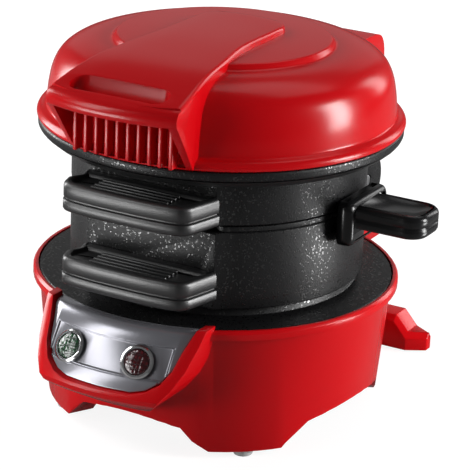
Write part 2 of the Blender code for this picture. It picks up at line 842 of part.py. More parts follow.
# Lower heating plate, its element and the shield that holds both.
plate_radius = deck_hole_radius - heat_gap
plate_top = lower_ring_bottom + lower_plate_rise
plate_bottom = plate_top - lower_plate_thickness
lower_plate = revolve("lower_heating_plate", [(0, plate_bottom), (plate_radius, plate_bottom),
                                              (plate_radius, plate_top - plate_edge),
                                              (plate_radius - plate_edge, plate_top), (0, plate_top)])
finish(lower_plate, "base", "dark_coating")


def heating_element(name, height, leg_end):
    """Ring-shaped element with two legs that end at the given height."""
    side = []
    for step in range(element_steps):
        turn = 2 * math.pi * step / element_steps
        side.append((element_circle + element_radius * math.cos(turn),
                     height + element_radius * math.sin(turn)))
    element = revolve(name, side, medium_steps)
    for x, y in leg_places:
        add(element, rod("leg", element_leg_radius, (x, y, height), (x, y, leg_end)))
    return element


leg_y = math.sqrt(element_circle ** 2 - element_leg_half_distance ** 2)
leg_places = [(-element_leg_half_distance, leg_y), (element_leg_half_distance, leg_y)]
element_height = plate_bottom - gap - element_radius
finish(heating_element("lower_heating_element", element_height, element_height - element_leg_length),
       "base", "bare_steel")
shield_floor = element_height - element_radius - gap
shield_bottom = shield_floor - shield_thickness
flange_top = deck_bottom - gap
flange_bottom = flange_top - shield_thickness
heat_shield = revolve("heat_shield", [(0, shield_bottom), (shield_wall_radius, shield_bottom),
                                      (shield_wall_radius, flange_bottom),
                                      (shield_flange_radius, flange_bottom),
                                      (shield_flange_radius, flange_top),
                                      (shield_wall_radius - shield_thickness, flange_top),
                                      (shield_wall_radius - shield_thickness, shield_floor),
                                      (0, shield_floor)])
for x, y in leg_places:
    cut(heat_shield, rod("hole", leg_hole_radius, (x, y, shield_bottom - gap), (x, y, shield_floor + gap)))
finish(heat_shield, "base", "bare_steel")
under_shield = shield_bottom - gap
finish(rod("thermostat", thermostat_radius, (0, 0, under_shield - thermostat_height), (0, 0, under_shield),
           medium_steps), "base", "white_ceramic")
fuse_z = under_shield - fuse_radius
finish(rod("thermal_fuse", fuse_radius, (-fuse_length / 2, fuse_place_y, fuse_z),
           (fuse_length / 2, fuse_place_y, fuse_z)), "base", "white_ceramic")
terminal_low = cover_top + gap
terminal_block = block("terminal_block", (-terminal_length / 2, terminal_place_y, terminal_low),
                       (terminal_length / 2, terminal_place_y + terminal_width,
                        terminal_low + terminal_height))
finish(terminal_block, "base", "white_ceramic")

# Hinge pin through the post and all lugs.
finish(rod("hinge_pin", pin_radius, (-pin_half_length, axis_y, axis_z), (pin_half_length, axis_y, axis_z),
           medium_steps), "base", "bare_steel")


def cooking_ring(name, bottom, top, low, high, inner, outer):
    """Ring shell with its bore and the two hinge lugs at the given heights and distances."""
    shell = slab(name, ring_outline, [(bottom, ring_edge), (bottom + ring_edge, 0), (top - ring_edge, 0),
                                      (top, ring_edge)])
    hole = bore_radius + liner_thickness + gap
    cut(shell, rod("bore", hole, (0, 0, bottom - ring_edge), (0, 0, top + ring_edge), large_steps))
    hinged = barrel_side([(lug_far, low), (lug_far, high)])
    start = hinged.index((lug_far, high))
    side = [(lug_far, high), (lug_near, high), (lug_near, low)] + hinged[start + 1:] + hinged[:start]
    for turn in (-1, 1):
        add(shell, side_prism("lug", side, turn * inner, turn * outer))
    drill_hinge(shell)
    return shell


def ring_liner(name, bottom, top):
    low = bottom + liner_inset
    high = top - liner_inset
    outer = bore_radius + liner_thickness
    return revolve(name, [(bore_radius, low), (outer, low), (outer, high), (bore_radius, high)])


def ring_handle(name, body, shell, bottom):
    """Front handle of a ring with its two screws, which are put in from the ring's inside."""
    top = bottom + handle_height
    low = bottom + handle_height * handle_groove_low_share
    high = bottom + handle_height * handle_groove_high_share
    slope = handle_groove_depth / 2
    handle = slab(name, handle_outline, [(bottom, handle_edge), (bottom + handle_edge, 0), (low - slope, 0),
                                         (low, handle_groove_depth), (high, handle_groove_depth),
                                         (high + slope, 0), (top - handle_edge, 0), (top, handle_edge)])
    middle = (bottom + top) / 2
    for side, word in ((-1, "left"), (1, "right")):
        head = Vector((side * handle_screw_x, handle_screw_head_y, middle))
        tip = head - Vector((0, handle_screw_length, 0))
        finish(screw(name + "_screw_" + word, head, tip), body, "bare_steel")
        drill_screw(handle, head, tip)
        drill_screw(shell, head, tip, handle_screw_room_y - handle_screw_head_y)
    finish(handle, body, "black_plastic")


# Lower ring with the rim that carries the upper ring above the egg plate's slot.
lower_shell = cooking_ring("lower_ring_shell", lower_ring_bottom, lower_ring_top, lower_lug_low,
                           lower_lug_high, lower_lug_inner, lower_lug_outer)
angles = [spacer_start + (spacer_end - spacer_start) * step / spacer_steps
          for step in range(spacer_steps + 1)]
spacer_top = upper_ring_bottom - gap
spacer = bent_block("spacer", angles, spacer_inner_radius, overrun_radius, lower_ring_top - ring_edge * 2,
                    [spacer_top] * len(angles))
keep(spacer, slab("outline", lambda inset: ring_outline(ring_edge), [(0, 0), (upper_ring_top, 0)]))
add(lower_shell, spacer)
ring_handle("lower_ring_handle", "lower_ring", lower_shell, lower_handle_bottom)
finish(lower_shell, "lower_ring", "black_metal")
finish(ring_liner("lower_ring_liner", lower_ring_bottom, lower_ring_top), "lower_ring", "bare_steel")

# Upper ring.
upper_shell = cooking_ring("upper_ring_shell", upper_ring_bottom, upper_ring_top, upper_lug_low,
                           upper_lug_high, upper_lug_inner, upper_lug_outer)
ring_handle("upper_ring_handle", "upper_ring", upper_shell, upper_handle_bottom)
finish(ring_liner("upper_ring_liner", upper_ring_bottom, upper_ring_top), "upper_ring", "bare_steel")

# Egg plate and the upright pin it turns on.
plate_low = lower_ring_top + gap
plate_high = plate_low + plate_thickness
pivot = on_circle(plate_pivot_radius, plate_pivot_angle)
egg_plate = rod("egg_plate", plate_disc_radius, (0, 0, plate_low), (0, 0, plate_high), large_steps)
count = large_steps // 2
angles = [plate_band_start + (plate_band_end - plate_band_start) * step / count for step in range(count + 1)]
add(egg_plate, bent_block("band", angles, tab_near, plate_band_radius, plate_low,
                          [plate_high] * len(angles)))
add(egg_plate, bent_block("web", plate_web_angles, tab_near, plate_web_radius, plate_low,
                          [plate_high] * len(plate_web_angles)))
add(egg_plate, rod("lug", plate_lug_radius, pivot + Vector((0, 0, plate_low)),
                   pivot + Vector((0, 0, plate_high)), medium_steps))
add(egg_plate, block("tab", (tab_near, -tab_half, plate_low), (tab_tip, tab_half, plate_high)))
head_top = plate_low + pivot_head_height
pin_end = upper_ring_bottom + pivot_pin_rise
pin_hole = pivot_pin_radius + hole_play
cut(egg_plate, rod("hole", pin_hole, pivot + Vector((0, 0, plate_low - gap)),
                   pivot + Vector((0, 0, plate_high + gap)), small_steps))
cut(egg_plate, rod("room", pivot_head_radius + hole_play, pivot + Vector((0, 0, plate_low - gap)),
                   pivot + Vector((0, 0, head_top + gap)), small_steps))
cut(upper_shell, rod("hole", pin_hole, pivot + Vector((0, 0, upper_ring_bottom - gap)),
                     pivot + Vector((0, 0, pin_end + gap)), small_steps))
finish(upper_shell, "upper_ring", "black_metal")
pivot_pin = rod("egg_plate_pivot_pin", pivot_head_radius, pivot + Vector((0, 0, plate_low)),
                pivot + Vector((0, 0, head_top)))
add(pivot_pin, rod("shank", pivot_pin_radius, pivot + Vector((0, 0, (plate_low + head_top) / 2)),
                   pivot + Vector((0, 0, pin_end))))
finish(pivot_pin, "upper_ring", "bare_steel")

# Egg plate handle: a root block outside the ring wall and a round-ended grip.
grip = loft("egg_plate_handle", [
    [(x, root_front + inset, root_bottom + inset), (x, root_rear - inset, root_bottom + inset),
     (x, root_rear - inset, root_top - inset), (x, root_front + inset, root_top - inset)]
    for x, inset in ((root_near, 0), (root_far - grip_edge, 0), (root_far, grip_edge))])
add(grip, slab("bar", round_end_bar, [(grip_bottom, grip_edge), (grip_bottom + grip_edge, 0),
                                      (grip_top - grip_edge, 0), (grip_top, grip_edge)]))
cut(grip, block("slot", (tab_near, -tab_half - gap, plate_low - gap),
                (tab_tip + gap, tab_half + gap, plate_high + gap)))
for side, word in ((-1, "front"), (1, "rear")):
    head = Vector((grip_screw_x, side * grip_screw_y, grip_screw_head))
    tip = head + Vector((0, 0, grip_screw_length))
    finish(screw("egg_plate_handle_screw_" + word, head, tip), "egg_plate", "bare_steel")
    drill_screw(egg_plate, head, tip)
    drill_screw(grip, head, tip, screw_head_room)
finish(egg_plate, "egg_plate", "bare_steel")
finish(grip, "egg_plate", "black_plastic")


def lid_envelope(grow):
    """Full body inside the lid's outer side, moved outwards by the given amount."""
    side = [(0, lid_outer_side[0][1] + grow)]
    side += [(radius + grow, height + grow) for radius, height in lid_outer_side]
    side += [(lid_outer_side[-1][0] + grow, lid_envelope_bottom), (0, lid_envelope_bottom)]
    return revolve("envelope", side, fine_steps)


# Lid shell with screw bosses, rear hump and hinge arms.
lid_side = [(0, lid_outer_side[0][1])] + list(lid_outer_side)
lid_side += [(lid_foot_inner_radius, lid_outer_side[-1][1])]
lid_side += [(radius - lid_wall, height - lid_wall) for radius, height in reversed(lid_outer_side)
             if height - lid_wall > lid_foot_inner_height]
lid_side += [(0, lid_outer_side[0][1] - lid_wall)]
lid_shell = revolve("lid_shell", lid_side, fine_steps)
boss_bottom = bezel_ring_floor + gap
for angle in lid_boss_angles:
    add(lid_shell, rod("boss", lid_boss_radius, on_circle(lid_boss_circle, angle, boss_bottom),
                       on_circle(lid_boss_circle, angle, lid_boss_top)))
hump = side_prism("hump", hump_side, -hump_half_width, hump_half_width)
cut(hump, side_prism("inside", hump_inner_side, -hump_inner_half, hump_inner_half))
cut(hump, lid_envelope(-lid_wall * hump_wall_share))
add(lid_shell, hump)
arm_side = barrel_side([(arm_top_near, arm_top), (arm_top_far, arm_top)])
for side in (-1, 1):
    add(lid_shell, side_prism("arm", arm_side, side * lid_arm_inner, side * lid_arm_outer))
drill_hinge(lid_shell)

# Raised strip: handle with the finger slot and the grille of ribs at its front end.
strip_sections = [[(-half, y, strip_bottom), (half, y, strip_bottom), (half, y, top - strip_edge),
                   (half - strip_edge, y, top), (-half + strip_edge, y, top), (-half, y, top - strip_edge)]
                  for y, half, top in strip_rows]
lid_handle = loft("lid_handle", strip_sections)
keep(lid_handle, revolve("front", [(0, lid_envelope_bottom)] + list(strip_front_side) + [
    (0, strip_front_side[-1][1])], fine_steps))
face_foot, face_head = strip_front_side[1:3]
face_lean = (face_head[0] - face_foot[0]) / (face_head[1] - face_foot[1])


def face_radius(height, depth):
    return face_foot[0] + (height - face_foot[1]) * face_lean - depth


def behind_face(name, low, high, depth, half, inner):
    """Room between an inner radius and the leaning front face, within a width and two heights."""
    room = revolve(name, [(inner, low), (face_radius(low, depth), low), (face_radius(high, depth), high),
                          (inner, high)], fine_steps)
    return keep(room, block("width", (-half, -front_cut_depth, lid_envelope_bottom), (half, 0, slot_high)))


grille_half = (grille_ribs * grille_pitch + grille_pitch - grille_rib_width) / 2
cut(lid_handle, behind_face("hand_room", grip_room_bottom, grip_room_top, grip_room_wall,
                            grip_room_half_width, grip_room_inner))
slot_round = (slot_rear - slot_front) / 2
slot_corners = [(-slot_half_width, slot_front), (slot_half_width, slot_front), (slot_half_width, slot_rear),
                (-slot_half_width, slot_rear)]
cut(lid_handle, slab("slot", lambda inset: rounded_outline(slot_corners, slot_round - inset),
                     [(slot_low, gap), (slot_high, gap)]))
frame_low = [(face_radius(grille_low, grille_frame_depth), grille_low), (pocket_reach, grille_low)]
frame_high = [(pocket_reach, grille_high), (face_radius(grille_high, grille_frame_depth), grille_high)]
window = revolve("window", frame_low + frame_high, fine_steps)
cut(lid_handle, keep(window, block("width", (-grille_half, -front_cut_depth, lid_envelope_bottom),
                                   (grille_half, 0, slot_high))))
groove_low = [(face_radius(grille_low, grille_depth), grille_low), (pocket_reach, grille_low)]
groove_high = [(pocket_reach, grille_high), (face_radius(grille_high, grille_depth), grille_high)]
for index in range(grille_ribs + 1):
    groove_start = -grille_half + index * grille_pitch
    groove = revolve("groove", groove_low + groove_high, fine_steps)
    keep(groove, block("width", (groove_start, -front_cut_depth, lid_envelope_bottom),
                       (groove_start + grille_pitch - grille_rib_width, 0, slot_high)))
    cut(lid_handle, groove)
cut(lid_handle, lid_envelope(gap))
finish(lid_handle, "lid", "red_gloss")

insert = behind_face("lid_handle_insert", grip_room_bottom + gap, insert_top, grip_room_wall + gap,
                     grip_room_half_width - gap, grip_room_inner)
cut(insert, lid_envelope(gap))
finish(insert, "lid", "black_plastic")

# Black bezel under the lid with the lid's screws.
bezel = revolve("lid_bezel", [(bezel_ring_hole, bezel_ring_bottom),
                              (bezel_ring_foot_radius, bezel_ring_bottom),
                              (bezel_ring_radius, bezel_ring_top), (bezel_lip_radius, bezel_ring_top),
                              (bezel_lip_radius, bezel_lip_top), (bezel_lip_inner, bezel_lip_top),
                              (bezel_lip_inner, bezel_ring_floor), (bezel_ring_hole, bezel_ring_floor)],
                fine_steps)
for index, angle in enumerate(lid_boss_angles):
    head = on_circle(lid_boss_circle, angle, lid_screw_head)
    tip = on_circle(lid_boss_circle, angle, lid_screw_head + lid_screw_length)
    finish(screw("lid_screw_%d" % (index + 1), head, tip), "lid", "bare_steel")
    drill_screw(bezel, head, tip, screw_head_room)
    drill_screw(lid_shell, head, tip)
finish(bezel, "lid", "black_plastic")
finish(lid_shell, "lid", "red_gloss")

# Upper heating plate, hung by its flange on the bezel, with its element and shield.
upper_radius = bezel_ring_hole - heat_gap
flange_low = bezel_ring_floor + gap
flange_high = flange_low + upper_plate_flange_thickness
upper_plate = revolve("upper_heating_plate", [(0, upper_plate_bottom),
                                              (upper_radius - plate_edge, upper_plate_bottom),
                                              (upper_radius, upper_plate_bottom + plate_edge),
                                              (upper_radius, flange_low),
                                              (upper_plate_flange_radius, flange_low),
                                              (upper_plate_flange_radius, flange_high), (0, flange_high)])
finish(upper_plate, "lid", "dark_coating")
element_height = flange_high + gap + element_radius
finish(heating_element("upper_heating_element", element_height, element_height + element_leg_length),
       "lid", "bare_steel")
cap_low = element_height + element_radius + gap
cap_high = cap_low + shield_thickness
cap_inner = upper_shield_radius - shield_thickness
upper_shield = revolve("upper_heat_shield", [(0, cap_low), (cap_inner, cap_low),
                                             (cap_inner, flange_high + gap),
                                             (upper_shield_radius, flange_high + gap),
                                             (upper_shield_radius, cap_high), (0, cap_high)])
for x, y in leg_places:
    cut(upper_shield, rod("hole", leg_hole_radius, (x, y, cap_low - gap), (x, y, cap_high + gap)))
finish(upper_shield, "lid", "bare_steel")

# Middle of the footprint to the origin; moving pieces get their own origin on their joint.
shift = Vector((-(grip_tip - base_outer_side[3][0]) / 2, -(bar_far - chin_radius) / 2, 0))
axis_place = Vector((0, axis_y, axis_z))
joint_places = {"base": -shift, "lower_ring": axis_place, "upper_ring": axis_place, "lid": axis_place,
                "egg_plate": pivot + Vector((0, 0, plate_low))}
for thing, body in finished:
    place = joint_places[body]
    thing.data.transform(Matrix.Translation(-place))
    thing.location = place + shift
bpy.context.view_layer.update()
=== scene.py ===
import math

import bmesh
import bpy
from mathutils import Matrix, Vector


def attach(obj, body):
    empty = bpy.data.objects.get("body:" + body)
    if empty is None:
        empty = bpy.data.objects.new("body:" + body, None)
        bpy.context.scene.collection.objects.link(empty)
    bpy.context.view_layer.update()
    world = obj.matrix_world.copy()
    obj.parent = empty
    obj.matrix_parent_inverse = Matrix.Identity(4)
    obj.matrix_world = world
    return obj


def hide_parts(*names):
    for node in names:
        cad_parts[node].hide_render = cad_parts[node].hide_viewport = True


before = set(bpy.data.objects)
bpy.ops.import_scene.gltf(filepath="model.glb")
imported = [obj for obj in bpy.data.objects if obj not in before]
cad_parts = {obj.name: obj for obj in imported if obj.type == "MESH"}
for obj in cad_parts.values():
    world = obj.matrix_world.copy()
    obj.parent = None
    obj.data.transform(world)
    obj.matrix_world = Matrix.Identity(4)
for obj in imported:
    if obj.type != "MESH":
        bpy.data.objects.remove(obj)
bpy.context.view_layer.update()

# Camera: it stands in front of the hamburger maker, a little to the user's right and above it, and
# leans slightly to the right as in the photograph.
view_turn = math.radians(28.3)
view_rise = math.radians(20.1)
view_lean = math.radians(2.3)
view_distance = 0.950
view_side_step = 0.00722
view_target = Vector((-0.0101, -0.0010, 0.0679))
view_lens = 180.4
towards_eye = Vector((math.sin(view_turn) * math.cos(view_rise), -math.cos(view_turn) * math.cos(view_rise),
                      math.sin(view_rise)))
level_right = (-towards_eye).cross(Vector((0, 0, 1))).normalized()
level_up = level_right.cross(-towards_eye)
frame_right = level_right * math.cos(view_lean) + level_up * math.sin(view_lean)
frame_up = level_up * math.cos(view_lean) - level_right * math.sin(view_lean)
eye = view_target + level_right * view_side_step + towards_eye * view_distance
lens = bpy.data.cameras.new("product_camera")
lens.lens = view_lens
lens.sensor_width = 36.0
lens.clip_start = 0.05
camera = bpy.data.objects.new("product_camera", lens)
bpy.context.scene.collection.objects.link(camera)
camera.matrix_world = Matrix(((frame_right.x, frame_up.x, towards_eye.x, eye.x),
                              (frame_right.y, frame_up.y, towards_eye.y, eye.y),
                              (frame_right.z, frame_up.z, towards_eye.z, eye.z),
                              (0, 0, 0, 1)))
bpy.context.scene.camera = camera
bpy.context.scene.view_settings.view_transform = "Standard"

# Studio floor: one wide white paper sheet under the maker. It takes the soft shadow, and what the camera
# sees of it beside that shadow is plain white, with a painted shade that dims it a little close to the maker.
floor_half = 3.0
paper_grey = 0.22
paper_fade_near = 0.14
paper_fade_far = 0.60
paper_glow_in_painted_shade = 0.88
paper_white_far = 1.00
paper_in_gloss = 0.03


def maths(nodes, operation, *later_inputs):
    """Math node with the given numbers in the inputs that follow its first one."""
    node = nodes.new("ShaderNodeMath")
    node.operation = operation
    for place, number in enumerate(later_inputs, 1):
        node.inputs[place].default_value = number
    return node


floor_mesh = bpy.data.meshes.new("studio_floor")
floor_mesh.from_pydata([(-floor_half, -floor_half, 0), (floor_half, -floor_half, 0),
                        (floor_half, floor_half, 0), (-floor_half, floor_half, 0)], [], [(0, 1, 2, 3)])
studio_floor = bpy.data.objects.new("studio_floor", floor_mesh)
bpy.context.scene.collection.objects.link(studio_floor)
floor_paper = bpy.data.materials.new("studio_floor_paper")
floor_paper.use_nodes = True
paper_nodes = floor_paper.node_tree.nodes
paper_links = floor_paper.node_tree.links
paper_nodes.clear()
paper_output = paper_nodes.new("ShaderNodeOutputMaterial")
paper_diffuse = paper_nodes.new("ShaderNodeBsdfDiffuse")
paper_diffuse.inputs["Color"].default_value = (paper_grey, paper_grey, paper_grey, 1)
paper_glow = paper_nodes.new("ShaderNodeEmission")
paper_glow.inputs["Color"].default_value = (1, 1, 1, 1)
paper_ray = paper_nodes.new("ShaderNodeLightPath")
paper_place = paper_nodes.new("ShaderNodeTexCoord")
paper_reach = paper_nodes.new("ShaderNodeVectorMath")
paper_reach.operation = "LENGTH"
# Painted shade: close to the maker the glow that the camera sees is lowered, so the paper looks dimmer there.
paper_painted_shade = paper_nodes.new("ShaderNodeMapRange")
paper_painted_shade.inputs["From Min"].default_value = paper_fade_near
paper_painted_shade.inputs["From Max"].default_value = paper_fade_far
paper_painted_shade.inputs["To Min"].default_value = paper_glow_in_painted_shade
paper_painted_shade.inputs["To Max"].default_value = paper_white_far
paper_through = maths(paper_nodes, "MAXIMUM")
paper_mirrored = maths(paper_nodes, "MULTIPLY", paper_in_gloss)
paper_level = maths(paper_nodes, "MULTIPLY_ADD")
paper_sum = paper_nodes.new("ShaderNodeAddShader")
paper_links.new(paper_ray.outputs["Is Camera Ray"], paper_through.inputs[0])
paper_links.new(paper_ray.outputs["Is Transmission Ray"], paper_through.inputs[1])
paper_links.new(paper_ray.outputs["Is Glossy Ray"], paper_mirrored.inputs[0])
paper_links.new(paper_place.outputs["Object"], paper_reach.inputs[0])
paper_links.new(paper_reach.outputs["Value"], paper_painted_shade.inputs["Value"])
paper_links.new(paper_through.outputs[0], paper_level.inputs[0])
paper_links.new(paper_painted_shade.outputs["Result"], paper_level.inputs[1])
paper_links.new(paper_mirrored.outputs[0], paper_level.inputs[2])
paper_links.new(paper_level.outputs[0], paper_glow.inputs["Strength"])
paper_links.new(paper_diffuse.outputs[0], paper_sum.inputs[0])
paper_links.new(paper_glow.outputs[0], paper_sum.inputs[1])
paper_links.new(paper_sum.outputs[0], paper_output.inputs["Surface"])
floor_mesh.materials.append(floor_paper)

# Studio light: a dim surround, seen as plain white by the camera, and eight lamps. Two large soft boxes
# stand at the left and the right, weaker ones in front, overhead and behind, and two small cards stand
# close to the floor at the right and in front. No lamp is seen itself.
surround_level = 0.07
surround_in_gloss = 0.02
surround = bpy.data.worlds.new("studio_surround")
bpy.context.scene.world = surround
surround.use_nodes = True
surround_nodes = surround.node_tree.nodes
surround_links = surround.node_tree.links
surround_sky = surround_nodes["Background"]
surround_sky.inputs["Color"].default_value = (1, 1, 1, 1)
surround_ray = surround_nodes.new("ShaderNodeLightPath")
surround_through = maths(surround_nodes, "MAXIMUM")
surround_mirrored = maths(surround_nodes, "MULTIPLY_ADD", surround_in_gloss, surround_level)
surround_white = maths(surround_nodes, "MULTIPLY_ADD", 1 - surround_level)
surround_links.new(surround_ray.outputs["Is Camera Ray"], surround_through.inputs[0])
surround_links.new(surround_ray.outputs["Is Transmission Ray"], surround_through.inputs[1])
surround_links.new(surround_ray.outputs["Is Glossy Ray"], surround_mirrored.inputs[0])
surround_links.new(surround_through.outputs[0], surround_white.inputs[0])
surround_links.new(surround_mirrored.outputs[0], surround_white.inputs[2])
surround_links.new(surround_white.outputs[0], surround_sky.inputs["Strength"])


def soft_box(name, place, width, height, watts, aim=(-0.010, 0, 0.09)):
    """Rectangular soft box that looks at the given point, the middle of the maker if none is given."""
    light = bpy.data.lights.new(name, "AREA")
    light.shape = "RECTANGLE"
    light.size = width
    light.size_y = height
    light.energy = watts
    lamp = bpy.data.objects.new(name, light)
    bpy.context.scene.collection.objects.link(lamp)
    lamp.visible_camera = False
    lamp.location = place
    lamp.rotation_euler = (Vector(place) - Vector(aim)).to_track_quat("Z", "Y").to_euler()


soft_box("left_soft_box", (-1.17, 0.02, 0.46), width=0.60, height=0.90, watts=15.0)
soft_box("front_card", (-0.60, -0.80, 0.49), width=0.30, height=0.75, watts=3.6)
soft_box("right_soft_box", (1.14, 0.40, 0.36), width=0.34, height=0.70, watts=18.0)
soft_box("overhead_soft_box", (0.05, 0.45, 1.05), width=0.70, height=0.50, watts=1.0)
soft_box("rear_soft_box", (0.42, 1.10, 0.45), width=0.30, height=0.60, watts=2.2)
soft_box("back_card", (-0.55, 1.03, 0.52), width=1.00, height=0.62, watts=0.45)
soft_box("low_right_card", (0.205, 0.055, 0.028), width=0.050, height=0.05, watts=0.120,
         aim=(-0.010, 0, 0.06))
soft_box("low_front_card", (-0.165, -0.300, 0.030), width=0.15, height=0.08, watts=0.42,
         aim=(-0.010, 0, 0.08))


# Base housing: one injection-moulded shell of red gloss plastic, with skirt, arches, four feet and the
# raised frame of the lamp panel. It is polished, with the faint waviness of moulded walls. The lid, its
# strip and the stabiliser foot have the same finish.
def new_material(name):
    """Empty material with one Principled shader and its output."""
    material = bpy.data.materials.new(name)
    material.use_nodes = True
    shader = material.node_tree.nodes["Principled BSDF"]
    return material, material.node_tree.nodes, material.node_tree.links, shader


def grain_group():
    """Node group that makes a surface grain: a bump and a slight change of roughness."""
    group = bpy.data.node_groups.new("surface_grain", "ShaderNodeTree")
    for socket, kind, value in (("Fine Scale", "NodeSocketFloat", 900.0), ("Height", "NodeSocketFloat", 0.05),
                                ("Roughness", "NodeSocketFloat", 0.3), ("Spread", "NodeSocketFloat", 0.05)):
        made = group.interface.new_socket(socket, in_out="INPUT", socket_type=kind)
        made.default_value = value
    group.interface.new_socket("Normal", in_out="OUTPUT", socket_type="NodeSocketVector")
    group.interface.new_socket("Roughness", in_out="OUTPUT", socket_type="NodeSocketFloat")
    nodes = group.nodes
    links = group.links
    entry = nodes.new("NodeGroupInput")
    leave = nodes.new("NodeGroupOutput")
    place = nodes.new("ShaderNodeTexCoord")
    noise = nodes.new("ShaderNodeTexNoise")
    noise.inputs["Detail"].default_value = 3.0
    bump = nodes.new("ShaderNodeBump")
    bump.inputs["Distance"].default_value = 0.0004
    smear = nodes.new("ShaderNodeTexNoise")
    smear.inputs["Scale"].default_value = 38.0
    smear.inputs["Detail"].default_value = 4.0
    centre = maths(nodes, "SUBTRACT", 0.5)
    spread = maths(nodes, "MULTIPLY_ADD")
    links.new(place.outputs["Object"], noise.inputs["Vector"])
    links.new(place.outputs["Object"], smear.inputs["Vector"])
    links.new(entry.outputs["Fine Scale"], noise.inputs["Scale"])
    links.new(entry.outputs["Height"], bump.inputs["Strength"])
    links.new(noise.outputs["Fac"], bump.inputs["Height"])
    links.new(smear.outputs["Fac"], centre.inputs[0])
    links.new(centre.outputs[0], spread.inputs[0])
    links.new(entry.outputs["Spread"], spread.inputs[1])
    links.new(entry.outputs["Roughness"], spread.inputs[2])
    links.new(bump.outputs["Normal"], leave.inputs["Normal"])
    links.new(spread.outputs[0], leave.inputs["Roughness"])
    return group


surface_grain = grain_group()


def grained(name, colour, roughness, spread, fine_scale, height, metallic=0.0, specular=0.5):
    """Material with one colour and the shared surface grain."""
    material, nodes, links, shader = new_material(name)
    shader.inputs["Base Color"].default_value = (*colour, 1)
    shader.inputs["Metallic"].default_value = metallic
    shader.inputs["Specular IOR Level"].default_value = specular
    grain = nodes.new("ShaderNodeGroup")
    grain.node_tree = surface_grain
    grain.inputs["Fine Scale"].default_value = fine_scale
    grain.inputs["Height"].default_value = height
    grain.inputs["Roughness"].default_value = roughness
    grain.inputs["Spread"].default_value = spread
    links.new(grain.outputs["Normal"], shader.inputs["Normal"])
    links.new(grain.outputs["Roughness"], shader.inputs["Roughness"])
    return material


def bare_copy(name, node):
    """New object with a CAD node's shape: its loose triangles joined and its flat faces made whole."""
    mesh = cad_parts[node].data.copy()
    mesh.name = name
    shape = bmesh.new()
    shape.from_mesh(mesh)
    bmesh.ops.remove_doubles(shape, verts=shape.verts, dist=0.000002)
    bmesh.ops.dissolve_limit(shape, angle_limit=math.radians(0.4), verts=shape.verts, edges=shape.edges)
    shape.to_mesh(mesh)
    shape.free()
    mesh.materials.clear()
    thing = bpy.data.objects.new(name, mesh)
    bpy.context.scene.collection.objects.link(thing)
    return thing


def applied(thing, modifier):
    """The object, with the modifier's result in its own mesh and the modifier taken off."""
    bpy.context.view_layer.update()
    graph = bpy.context.evaluated_depsgraph_get()
    result = bpy.data.meshes.new_from_object(thing.evaluated_get(graph))
    thing.modifiers.remove(modifier)
    thing.data = result
    return thing


def soften(thing, width, segments=2, angle=32.0, where=None, held_back=True):
    """Round the sharp edges of a piece, or those of them for which where(middle) is true."""
    shape = bmesh.new()
    shape.from_mesh(thing.data)
    weight = shape.edges.layers.float.get("bevel_weight_edge")
    if weight is None:
        weight = shape.edges.layers.float.new("bevel_weight_edge")
    for edge in shape.edges:
        sharp = edge.is_manifold and edge.calc_face_angle(0.0) > math.radians(angle)
        if sharp and where:
            sharp = where((edge.verts[0].co + edge.verts[1].co) / 2)
        edge[weight] = 1.0 if sharp else 0.0
    shape.to_mesh(thing.data)
    shape.free()
    bevel = thing.modifiers.new("rounding", "BEVEL")
    bevel.limit_method = "WEIGHT"
    bevel.width = width
    bevel.segments = segments
    bevel.use_clamp_overlap = held_back
    applied(thing, bevel)


def finish_piece(thing, material, body, replaced, smooth=40.0):
    """Give a piece its material in one slot, smooth shading and body, and hide the CAD nodes it stands for.
    """
    thing.data.materials.clear()
    thing.data.materials.append(material)
    for face in thing.data.polygons:
        face.material_index = 0
    thing.data.shade_smooth()
    thing.data.set_sharp_from_angle(angle=math.radians(smooth))
    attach(thing, body)
    if replaced:
        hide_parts(*replaced)


def dressed_copy(name, node, body, material, rounding=0.0, segments=2, held_back=True):
    """Show a CAD node by a copy with whole faces, rounded edges and a better material."""
    thing = bare_copy(name, node)
    if rounding:
        soften(thing, rounding, segments, held_back=held_back)
    finish_piece(thing, material, body, (node,))


red_gloss = grained("red_gloss_shell", (0.56, 0.001, 0.004), roughness=0.22, spread=0.05, fine_scale=160.0,
                    height=0.02, specular=0.34)
dressed_copy("base_housing", "base_shell", "base", red_gloss, rounding=0.0005)

# Stabiliser foot: a red cross bar behind the base that keeps the opened maker from tipping over. It is
# moulded in the housing's plastic, and two screws from below hold its tail under the base.
dressed_copy("stabiliser_foot", "rear_foot", "base", red_gloss, rounding=0.0008, segments=3)

